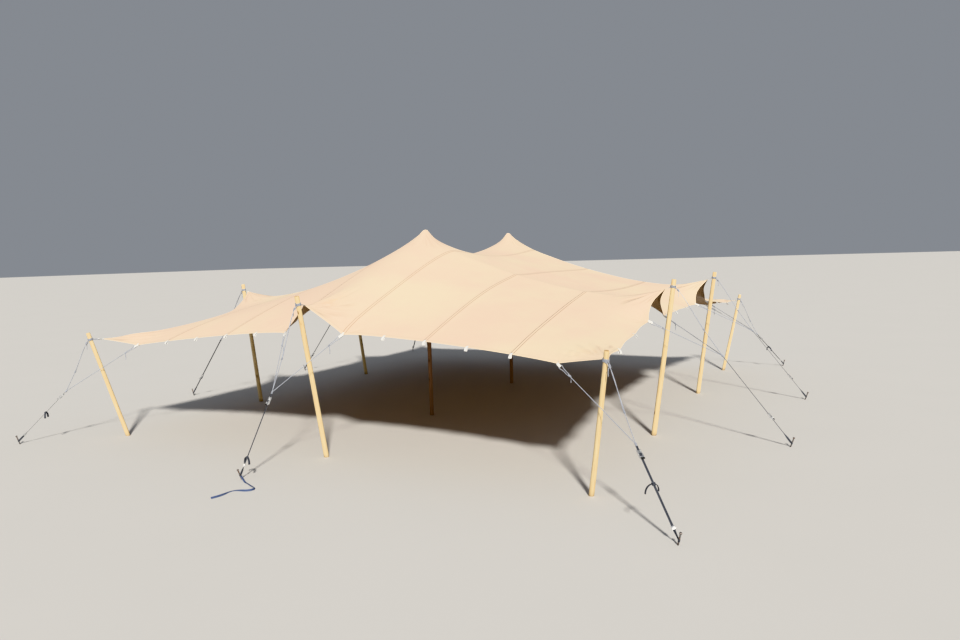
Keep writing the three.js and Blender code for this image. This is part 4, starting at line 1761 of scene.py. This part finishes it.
        with editing(grip, "EDGE"):
            pick_across(grip, size[0] / 2)
            bpy.ops.mesh.subdivide(number_cuts=self.grip_ribs - 1)
            bpy.ops.mesh.select_mode(type="FACE")
            pick(grip, "faces", ribbed)
            bpy.ops.mesh.extrude_region_shrink_fatten(TRANSFORM_OT_shrink_fatten={"value": 0.0012})
        ease(grip, 0.0007, 1)
        soften(grip, 40)
        return grip


@dataclass
class StakeShape:
    """A steel stake, of which only the top stands out of the ground."""

    radius: float = 0.011
    length: float = 0.19
    head_radius: float = 0.017
    head_length: float = 0.026
    lip: float = 0.004
    buried: float = 0.05
    lean: float = 0.34
    loop_at: float = 0.07

    def build(self) -> Piece:
        """Builds the stake upright with its ground level at zero, to be copied.

        Returns:
            The stake.
        """
        shank = self.length - self.head_length
        piece = cylinder(self.radius, shank + self.buried, (0, 0, (shank - self.buried) / 2), 24)
        widest = self.head_radius / self.radius
        head = ((self.lip, widest), (self.head_length - 2 * self.lip, 1.0), (self.lip, 0.8))
        with editing(piece, "FACE"):
            pick(piece, "faces", lambda f: f.normal.z > 0.9)
            for rise, widen in head:
                bpy.ops.mesh.extrude_region_move(TRANSFORM_OT_translate={"value": (0, 0, rise)})
                bpy.ops.transform.resize(value=(widen, widen, 1), center_override=(0, 0, self.length))
            bpy.ops.mesh.inset(thickness=0.004, depth=0.0008)
        ease(piece, 0.0015, 2, 30)
        soften(piece, 30)
        return named(piece, "stake_master")


@dataclass
class KeeperSleeve:
    """The plated sleeve that is crimped round the strap's sewn end."""

    width: float = 0.046
    depth: float = 0.013
    length: float = 0.045
    wall: float = 0.002

    def build(self) -> Piece:
        """Builds the sleeve round the Z axis, open at both ends.

        Returns:
            The sleeve.
        """
        piece = slab((self.width, self.depth, self.length), (0, 0, 0))
        with editing(piece, "FACE"):
            pick(piece, "faces", lambda f: abs(f.normal.z) > 0.9)
            bpy.ops.mesh.delete(type="FACE")
        modify(piece, "SOLIDIFY", thickness=self.wall, offset=-1.0)
        ease(piece, 0.0008)
        soften(piece)
        return named(piece, "keeper_sleeve")


@dataclass
class Kit:
    """The parts that every edge pole's guy shares: each is modelled once."""

    buckle_shape: RatchetBuckle = field(default_factory=RatchetBuckle)
    stake_shape: StakeShape = field(default_factory=StakeShape)
    tab: Tab = field(default_factory=Tab)
    rope: TwistedRope = field(default_factory=TwistedRope)
    heart: TwistedRope = field(default_factory=lambda: TwistedRope(radius=0.0068))
    webbing: FlatWebbing = field(default_factory=lambda: FlatWebbing(STRAP_WIDTH, 0.0026))
    lashing_below_head: float = 0.14
    lashing_turns: int = 4
    bight: float = 0.22
    doubled_share: float = 0.62
    loose_end: float = 0.12
    knot_radius: float = 0.011
    knot_length: float = 0.046
    knot_turns: int = 4

    def __post_init__(self) -> None:
        """Builds and dresses the parts that are copied."""
        self.buckle, self.grip = self.buckle_shape.build()
        self.stake = self.stake_shape.build()
        self.keeper = KeeperSleeve().build()
        self.masters = (self.keeper, self.buckle, self.grip, self.stake)
        for master, finish in zip(self.masters, (PLATED_STEEL, PLATED_STEEL, GRIP_RUBBER, STAKE_STEEL)):
            master.data.materials.append(finish.material())

    def drop_masters(self) -> None:
        """Removes the parts that the copies came from."""
        for master in self.masters:
            bpy.data.objects.remove(master)


@dataclass
class EdgeStation:
    """One edge pole with its lashing, ropes, knot, strap, ratchet and stake."""

    name: str
    kit: Kit
    cloth: Cloth
    foot: Array
    head: Array
    foot_radius: float
    head_radius: float
    knot: Array
    stake_foot: Array
    ratchet_at: float
    tied_at: float
    tabs: list[tuple[int, int]]
    seed: int
    short_tie: float = 0.12
    hangs_from: float = 0.4
    beside: float = 0.0065
    turns_before_end: tuple[float, float] = (0.26, 0.04)
    keeper_before_end: float = 0.17
    keeper_after_knot: float = 0.06
    off_steel: float = 0.0018

    @property
    def axis(self) -> Array:
        """Returns the pole's direction."""
        return unit(self.head - self.foot)

    @property
    def lashing(self) -> Array:
        """Returns the middle of the rope turns on the pole's axis."""
        return self.head - self.axis * self.kit.lashing_below_head

    @property
    def down(self) -> Array:
        """Returns the way from the knot to the stake's foot."""
        return unit(self.stake_foot - self.knot)

    @property
    def guy_side(self) -> Array:
        """Returns the way from the pole to its guy, square to the pole."""
        return square_to(self.knot - self.lashing, self.axis)

    @property
    def stake_axis(self) -> Array:
        """Returns the stake's direction, which leans away from its guy."""
        away = unit((self.stake_foot - self.knot) * (1 - UP))
        return unit(away * self.kit.stake_shape.lean + UP)

    @property
    def around(self) -> float:
        """Returns how far the middle of the lashing's rope is from the pole's axis."""
        share = 1 - self.kit.lashing_below_head / np.linalg.norm(self.head - self.foot)
        radius = self.foot_radius + (self.head_radius - self.foot_radius) * share
        return radius * 1.03 + self.kit.rope.radius

    def build(self) -> None:
        """Builds every piece of the station."""
        radii = (self.foot_radius, self.head_radius)
        pole = RoundPole(f"{self.name}_round_pole", self.foot, self.head, *radii, self.seed).build()
        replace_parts(pole, f"{self.name}_pole")
        self.build_ropes()
        self.build_strap()
        self.build_stake()
        LOG.info("built %s", self.name)

    def coil(self, centre: Array, axis: Array, radius: float, turns: float, start: Array) -> Piece:
        """Winds touching turns of rope.

        Args:
            centre: The middle of the coil.
            axis: Its axis, at length one.
            radius: From its axis to the rope's middle.
            turns: How many turns it has.
            start: The direction in which it starts.

        Returns:
            The coil.
        """
        first = square_to(start, axis)
        share = np.linspace(0, 1, max(8, int(turns * 18)))
        rise = (share - 0.5) * turns * 2 * self.kit.rope.radius
        out, off = radius * np.cos(share * turns * math.tau), radius * np.sin(share * turns * math.tau)
        points = points_from(centre, (rise, axis), (out, first), (off, np.cross(axis, first)))
        return self.kit.rope.build(points)

    def build_ropes(self) -> None:
        """Builds the lashing, the tie to the cloth's tip, the ropes to the knot, and the knot."""
        kit = self.kit
        pieces = [self.coil(self.lashing, self.axis, self.around, kit.lashing_turns, self.guy_side)]
        pieces += self.tied(self.tabs[0], self.lashing, self.around)
        for place in self.tabs[1:]:
            pieces += self.tied(place, self.knot, 0.0)
        pieces += self.head_guy()
        centre = self.knot + self.down * kit.knot_length / 6
        pieces.append(self.coil(centre, self.down, kit.knot_radius, kit.knot_turns, np.cross(self.down, UP)))
        inside = kit.knot_radius * 2
        pieces.append(kit.heart.build([centre - self.down * inside, centre + self.down * inside]))
        joined = join(f"{self.name}_guy_ropes", pieces)
        settle(joined, Slot.ROPE, GUY_ROPE)
        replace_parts(joined, f"{self.name}_ropes")

    def tied(self, place: tuple[int, int], target: Array, stop_short: float) -> list[Piece]:
        """Ties a tab's loop to a target: a bight, a hitch with its hanging end, and a taut rope.

        Args:
            place: The tab's numbers across and along.
            target: Where the rope goes.
            stop_short: How far before the target it ends.

        Returns:
            The rope's pieces.
        """
        rope, tab = self.kit.rope, self.kit.tab
        edge = self.cloth.edge_place(*place)
        way = tab.direction(edge, target)
        distance = np.linalg.norm(target - edge.root) - stop_short
        side = square_to(edge.tangent, way)
        inside = edge.root + way * (tab.length - 0.012)
        end = edge.root + way * distance
        half = tab.width / 2 + rope.radius
        free = distance - tab.length
        if free < self.short_tie:
            reaches = [side * s for s in (-1.0, -0.33, 0.33, 1.0)]
            return [rope.build([inside + off * half * 0.8, end + off * rope.radius * 3]) for off in reaches]
        length = min(self.kit.bight, free * 0.5)
        right = [(half * 0.9, 0.0), (half, 0.014), (half * 0.5, length * 0.4), (0.007, length)]
        left = [(-across, along) for across, along in right]
        across, along = np.transpose([left[0], *right, *left[:0:-1]])
        bight = rope.build(points_from(inside, (across, side), (along, way)), closed=True)
        return [bight, *self.hitched(inside + way * length, end, side, free > self.hangs_from)]

    def head_guy(self) -> list[Piece]:
        """Leads a doubled rope from both sides of the lashing to a hitch, and one rope on to the knot.

        Returns:
            The rope's pieces.
        """
        side = np.cross(self.guy_side, self.axis)
        run = self.knot - self.lashing
        way = unit(run)
        hitch = self.lashing + run * self.kit.doubled_share
        front = self.lashing + self.guy_side * self.around
        pieces = []
        for s in (-1, 1):
            leaves = self.lashing + side * self.around * s
            beside = side * self.beside * s
            pieces.append(self.kit.rope.build([leaves, front + way * 0.07 + beside, hitch + beside]))
        top = front + way * 0.075
        pieces.append(self.coil(top, way, 0.0155, 4, side))
        pieces.append(self.loose_end(top + way * 0.02, side))
        return pieces + self.hitched(hitch, self.knot, side, False)

    def hitched(self, hitch: Array, end: Array, side: Array, hangs: bool) -> list[Piece]:
        """Ends two strands in a hitch, and leads one rope on from it.

        Args:
            hitch: Where the strands meet.
            end: Where the rope goes.
            side: The way that the rope's spare end leaves the hitch.
            hangs: Whether a spare end hangs from it.

        Returns:
            The rope's pieces.
        """
        way = unit(end - hitch)
        pieces = [self.coil(hitch + way * 0.012, way, 0.0105, 3, side)]
        pieces.append(self.kit.rope.build([hitch - way * 0.006, end]))
        if hangs:
            pieces.append(self.loose_end(hitch + way * 0.02, side))
        return pieces

    def loose_end(self, start: Array, side: Array) -> Piece:
        """Hangs a rope end that leaves a hitch sideways and then goes straight down.

        Args:
            start: The hitch's place.
            side: The way that the end leaves it.

        Returns:
            The rope's end.
        """
        out = (0.008, 0.02, 0.028, 0.031, 0.031, 0.028)
        down = (0.0, 0.006, 0.022, 0.05, self.kit.loose_end * 0.7, self.kit.loose_end)
        return self.kit.rope.build(points_from(start, (out, side), (down, -UP)))

    def build_strap(self) -> None:
        """Builds the webbing from the knot to the stake, its loop, and the ratchet that tightens it."""
        kit, shape = self.kit, self.kit.buckle_shape
        start = self.knot + self.down * (kit.knot_length * 2 / 3 + 0.0003)
        loop = self.stake_foot + self.stake_axis * kit.stake_shape.loop_at
        run = loop - start
        length = float(np.linalg.norm(run))
        level, face, way = np.array(basis(start, run).to_3x3()).T
        top = length * self.ratchet_at
        hook = top + shape.length * 0.1
        middle = top + shape.length / 2

        def side_at(metres: Array) -> Array:
            """Returns the strap's width direction along it, which turns to the stake's near its end."""
            share = eased(metres, *(length - before for before in self.turns_before_end))
            return unit(np.outer(1 - share, level) + np.outer(share, self.stake_axis))

        bands = []
        if hook > 0.05:
            steps = np.linspace(0, hook, max(3, int(hook / 0.03)))
            bands.append(kit.webbing.build(points_from(start, (steps, way)), level))
        last = length - kit.stake_shape.radius - 0.003
        steps = np.linspace(middle, last, max(8, int((length - middle) / 0.025)))
        lifted = 0.004 * np.exp((middle - steps) / 0.05)
        bands.append(kit.webbing.build(points_from(start, (steps, way), (lifted, face)), side_at(steps)))
        if self.tied_at:
            bands += self.tied_spare(start + way * length * self.tied_at, way, level)
        bands.append(self.wound(start + way * middle, level, way, face))
        bands.append(self.stake_loop(loop, way))
        strap = join(f"{self.name}_strap_webbing", bands)
        settle(strap, Slot.WEBBING, STRAP_WEBBING)
        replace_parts(strap, f"{self.name}_strap")
        seat = basis(start + way * top, run)
        settle(copy(f"{self.name}_ratchet", kit.buckle, seat), Slot.WEBBING)
        settle(copy(f"{self.name}_ratchet_grip", kit.grip, seat), Slot.WEBBING)
        crimped = length - self.keeper_before_end if self.tied_at else self.keeper_after_knot
        sleeve = Matrix.Translation(start + way * crimped) @ across_frame(side_at(crimped)[0], way)
        settle(copy(f"{self.name}_keeper", kit.keeper, sleeve), Slot.WEBBING)

    def tied_spare(self, centre: Array, way: Array, level: Array) -> list[Piece]:
        """Ties the strap's spare end round it, and lets its two short ends hang.

        Args:
            centre: The knot's place on the strap.
            way: The strap's direction.
            level: The strap's width direction.

        Returns:
            The pieces of webbing.
        """
        webbing = self.kit.webbing
        turns = np.linspace(0, 2.4 * math.tau, 64)
        rise = 0.006 * (turns / math.tau - 1.2)
        out = (0.021 + 0.0006 * turns) * np.cos(turns)
        off = (0.005 + 0.0012 * turns) * np.sin(turns)
        wraps = points_from(centre, (rise, way), (out, level), (off, np.cross(way, level)))
        pieces = [webbing.build(wraps, way)]
        reaches = {
            -1: ((0.0, 0.0), (0.03, 0.004), (0.068, 0.026), (0.096, 0.066), (0.108, 0.118)),
            1: ((0.0, 0.0), (0.022, 0.01), (0.046, 0.04), (0.058, 0.078), (0.056, 0.108)),
        }
        for sign, reach in reaches.items():
            out, down = np.transpose(reach)
            hanging = points_from(centre, ((out + 0.018) * sign, level), (down, -UP))
            pieces.append(webbing.build(smooth_route(hanging, 0.01), np.cross(level, UP)))
        return pieces

    def wound(self, centre: Array, level: Array, way: Array, face: Array) -> Piece:
        """Winds the webbing on the ratchet's spindle.

        Args:
            centre: The spindle's middle.
            level: The strap's width direction.
            way: The strap's direction.
            face: The direction that the strap's upper face looks.

        Returns:
            The turns of webbing.
        """
        turns = np.linspace(0, 2.6 * math.tau, 60)
        radius = self.kit.buckle_shape.spindle + self.off_steel + 0.0028 * turns / math.tau
        route = points_from(centre, (radius * np.cos(turns), way), (radius * np.sin(turns), face))
        return self.kit.webbing.build(route, level)

    def stake_loop(self, loop: Array, way: Array) -> Piece:
        """Lays the webbing's loop round the stake.

        Args:
            loop: The loop's middle.
            way: The strap's direction.

        Returns:
            The loop.
        """
        first = square_to(way, self.stake_axis)
        second = np.cross(self.stake_axis, first)
        radius = self.kit.stake_shape.radius + self.off_steel
        turns = np.linspace(0, math.tau, 28, endpoint=False)
        route = points_from(loop, (radius * np.cos(turns), first), (radius * np.sin(turns), second))
        return self.kit.webbing.build(route, self.stake_axis, closed=True)

    def build_stake(self) -> None:
        """Copies the stake to its place and cuts it level at the ground."""
        piece = copy(f"{self.name}_steel_stake", self.kit.stake, basis(self.stake_foot, self.stake_axis))
        cut_level(piece, 0.0)
        settle(piece, Slot.STEEL)
        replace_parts(piece, f"{self.name}_stake")


@dataclass
class MainPole:
    """An upright main pole with the rounded rubber cap that carries a peak."""

    end: str
    seed: int
    radius: float = 0.045
    head_share: float = 0.96
    bow: float = 0.004
    cap_radius: float = 0.062
    skirt: float = 0.04
    skirt_wall: float = 0.004
    rim: float = 0.002

    def build(self) -> None:
        """Builds the pole and its cap in the places of their solids."""
        low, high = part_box(f"main_pole_{self.end}")
        x, y = (low.x + high.x) / 2, (low.y + high.y) / 2
        foot, head = np.array([x, y, 0.0]), np.array([x, y, high.z])
        radii = (self.radius, self.radius * self.head_share)
        name = f"main_round_pole_{self.end}"
        # The main pole takes the darker wood, which paints the shade under the canopy.
        pole = RoundPole(name, foot, head, *radii, self.seed, bow=self.bow, finish=SHADED_MAIN_POLE_WOOD)
        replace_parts(pole.build(), f"main_pole_{self.end}")
        low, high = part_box(f"main_pole_cap_{self.end}")
        centre = high.z - self.cap_radius
        at = (x, y, centre)
        add = bpy.ops.mesh.primitive_uv_sphere_add
        ball = added(add, at, segments=40, ring_count=20, radius=self.cap_radius)
        cap = named(ball, f"rounded_cap_{self.end}")
        cut_level(cap, centre + 1e-4)
        with editing(cap, "FACE"):
            pick(cap, "faces", lambda f: f.normal.z < -0.9)
            bpy.ops.mesh.extrude_region_move(TRANSFORM_OT_translate={"value": (0, 0, -self.skirt)})
            bpy.ops.mesh.inset(thickness=self.skirt_wall)
            bpy.ops.mesh.select_mode(type="EDGE")
            pick(cap, "edges", lambda e: all(abs(v.co.z - low.z) < 1e-3 for v in e.verts))
            bpy.ops.mesh.bevel(offset=self.rim, segments=2, affect="EDGES")
        soften(cap)
        settle(cap, Slot.RUBBER, CAP_RUBBER)
        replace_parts(cap, f"main_pole_cap_{self.end}")
        LOG.info("built the %s main pole", self.end)


@dataclass
class StrapTail:
    """The loose end of the front middle strap, which lies on the ground, in places half on its edge."""

    width: float = STRAP_WIDTH
    thickness: float = 0.003
    lean: float = 1.15
    rolls: float = 2.4
    step: float = 0.01
    route: tuple[Point, ...] = (
        (-0.443, -7.627, 0.066), (-0.41, -7.643, 0.062), (-0.37, -7.661, 0.046), (-0.325, -7.682, 0.024),
        (-0.28, -7.702, 0.008), (-0.235, -7.723, 0.0024), (-0.16, -7.757, 0.002), (-0.06, -7.803, 0.002),
        (0.04, -7.849, 0.002), (0.115, -7.892, 0.002), (0.158, -7.945, 0.002), (0.15, -8.01, 0.002),
        (0.096, -8.058, 0.002), (0.02, -8.072, 0.002), (-0.06, -8.086, 0.002), (-0.114, -8.132, 0.002),
        (-0.125, -8.21, 0.002), (-0.103, -8.3, 0.002), (-0.097, -8.39, 0.002), (-0.112, -8.47, 0.002),
        (-0.138, -8.54, 0.002),
    )

    def build(self) -> None:
        route = smooth_route(self.route, self.step)
        level = unit(np.cross(np.gradient(route, axis=0), UP))
        share = np.linspace(0, 1, len(route))
        lies = np.clip((share - 0.16) / 0.1, 0, 1)
        lean = self.lean * lies * (0.55 + 0.45 * np.sin(share * self.rolls * math.tau))
        side = level * np.cos(lean)[:, None] + np.outer(np.sin(lean), UP)
        route[:, 2] += np.sin(lean) * self.width / 2
        piece = named(FlatWebbing(self.width, self.thickness).build(route, side), "middle_front_loose_strap")
        settle(piece, Slot.WEBBING, TAIL_WEBBING)
        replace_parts(piece, "middle_front_strap_tail")
        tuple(self.route[0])
        round(route_length(route), 3)


@dataclass(frozen=True)
class Layout:
    """Where one kind of edge pole and its guy stand, for the quarter with +X and +Y, and the pole's radii."""

    foot: Point
    head: Point
    radii: tuple[float, float]
    knot: Point
    stake: Point
    ratchet_at: float
    tied_at: float


@dataclass
class Tent:
    """The whole tent, from the same sizes as its solids."""

    corner: Layout = Layout(
        (5.15, 6.2, 0.0), (5.56, 6.66, 2.24), (0.042, 0.038), (6.02, 6.92, 1.04), (6.7, 7.55, 0.0), 0.04, 0.42
    )
    middle: Layout = Layout(
        (0.0, 5.96, 0.0), (0.0, 6.55, 2.99), (0.047, 0.041), (0.2, 7.05, 1.39), (0.45, 7.6, 0.0), 0.04, 0.78
    )
    side: Layout = Layout(
        (5.13, 2.3, 0.0), (5.54, 2.3, 3.05), (0.05, 0.044), (6.42, 2.3, 1.62), (7.6, 2.3, 0.0), 0.66, 0.0
    )
    main_pole_seed: int = 40

    def build(self) -> None:
        """Builds every piece of the tent."""
        cloth = Cloth()
        canopy = cloth.build()
        LOG.info("built the canopy, %d faces", len(canopy.data.polygons))
        for number, end in enumerate(("front", "back")):
            MainPole(end, self.main_pole_seed + number).build()
        kit = Kit()
        stations = self.stations(kit, cloth)
        for station in stations:
            station.build()
        self.build_tabs(cloth, kit, stations)
        kit.drop_masters()
        StrapTail().build()

    def stations(self, kit: Kit, cloth: Cloth) -> list[EdgeStation]:
        """Lists the ten edge poles.

        Args:
            kit: The parts that they share.
            cloth: The cloth that they hold.

        Returns:
            The stations, each with its tip tab first and the tabs beside it after.
        """
        net = cloth.net
        found = []

        def add(name: str, signs: tuple[int, int], at: Layout, tabs: list[tuple[int, int]]) -> None:
            """Adds one pole, mirrored to its quarter."""
            foot, head, knot, stake = np.array([at.foot, at.head, at.knot, at.stake]) * (*signs, 1)
            guy = (knot, stake, at.ratchet_at, at.tied_at)
            found.append(EdgeStation(name, kit, cloth, foot, head, *at.radii, *guy, tabs, len(found) + 1))

        for sx, sy in QUARTERS:
            place = f"{'front' if sy < 0 else 'back'}_{'left' if sx < 0 else 'right'}"
            side, end = net.tabs_across * (sx > 0), net.tabs_along * (sy > 0)
            row = abs(end - net.side_pole_tab)
            add(f"corner_{place}", (sx, sy), self.corner, [(side, end), (side - sx, end)])
            add(f"side_{place}", (sx, sy), self.side, [(side, row), (side, row - 1), (side, row + 1)])
        middle = net.tabs_across // 2
        for sign, name, end in ((-1, "middle_front", 0), (1, "middle_back", net.tabs_along)):
            add(name, (sign, sign), self.middle, [(middle, end), (middle - 1, end), (middle + 1, end)])
        return found

    def build_tabs(self, cloth: Cloth, kit: Kit, stations: list[EdgeStation]) -> None:
        """Builds a webbing loop at every tab round the cloth.

        Args:
            cloth: The cloth that they are sewn to.
            kit: The parts that the stations share.
            stations: The edge poles, which say where tied tabs point.
        """
        net = cloth.net
        targets = {place: station.knot for station in stations for place in station.tabs[1:]}
        targets.update({station.tabs[0]: station.lashing for station in stations})
        places = [(i, j) for i in range(net.tabs_across + 1) for j in (0, net.tabs_along)]
        places += [(i, j) for j in range(1, net.tabs_along) for i in (0, net.tabs_across)]
        loops = [kit.tab.build(cloth.edge_place(*place), targets.get(place)) for place in places]
        settle(join("webbing_tabs", loops), Slot.CLOTH, TAB_WEBBING)
        LOG.info("built %d tabs", len(loops))


@dataclass
class Studio:
    """The plain floor, the soft light and the camera."""

    floor_size: float = 900.0
    sun_from: Point = (0.46, -0.68, 0.57)
    sun_strength: float = 4.9
    sun_softness: float = 5.0
    sun_colour: Colour = (1.0, 0.95, 0.87)
    sky_colour: Colour = (0.86, 0.91, 1.0)
    sky_strength: float = 0.32
    camera_at: Point = (8.5393, -16.2104, 3.5557)
    looks_along: Point = (-0.4567, 0.8855, -0.0852)
    roll: float = -1.64
    frame_width: float = 960.0
    focal_pixels: float = 722.3
    sensor: float = 36.0
    sees_as_far_as: float = 1000.0

    def build(self) -> None:
        """Builds the stage."""
        floor = added(bpy.ops.mesh.primitive_plane_add, (0, 0, 0), size=self.floor_size)
        floor.name = "studio_floor"
        floor.data.materials.append(STUDIO_FLOOR.material())
        light = bpy.data.lights.new("key_sun", "SUN")
        light.energy = self.sun_strength
        light.angle = math.radians(self.sun_softness)
        light.color = self.sun_colour
        sun = bpy.data.objects.new("key_sun", light)
        sun.rotation_euler = Vector(self.sun_from).to_track_quat("Z", "Y").to_euler()
        world = bpy.data.worlds.new("studio_world")
        world.use_nodes = True
        background = world.node_tree.nodes["Background"]
        background.inputs["Color"].default_value = (*self.sky_colour, 1.0)
        background.inputs["Strength"].default_value = self.sky_strength
        scene = bpy.context.scene
        scene.collection.objects.link(sun)
        scene.world = world
        scene.view_settings.view_transform = "Khronos PBR Neutral"
        scene.camera = self.camera()
        scene.collection.objects.link(scene.camera)

    def camera(self) -> Piece:
        """Makes the camera: where the photograph was taken from, with its angle of view and its tilt.

        Returns:
            The camera.
        """
        data = bpy.data.cameras.new("camera")
        data.sensor_width = self.sensor
        data.sensor_fit = "HORIZONTAL"
        data.lens = self.focal_pixels / self.frame_width * self.sensor
        data.clip_end = self.sees_as_far_as
        camera = bpy.data.objects.new("camera", data)
        back = -Vector(self.looks_along).normalized()
        right = Vector((0, 0, 1)).cross(back).normalized()
        turn = Matrix((right, back.cross(right), back)).transposed().to_4x4()
        roll = Matrix.Rotation(math.radians(self.roll), 4, "Z")
        camera.matrix_world = Matrix.Translation(self.camera_at) @ turn @ roll
        return camera


def main() -> None:
    """Builds the studio and the tent."""
    logging.basicConfig(level=logging.INFO, format="%(name)s: %(message)s")
    Studio().build()
    Tent().build()


if __name__ == "__main__":
    main()
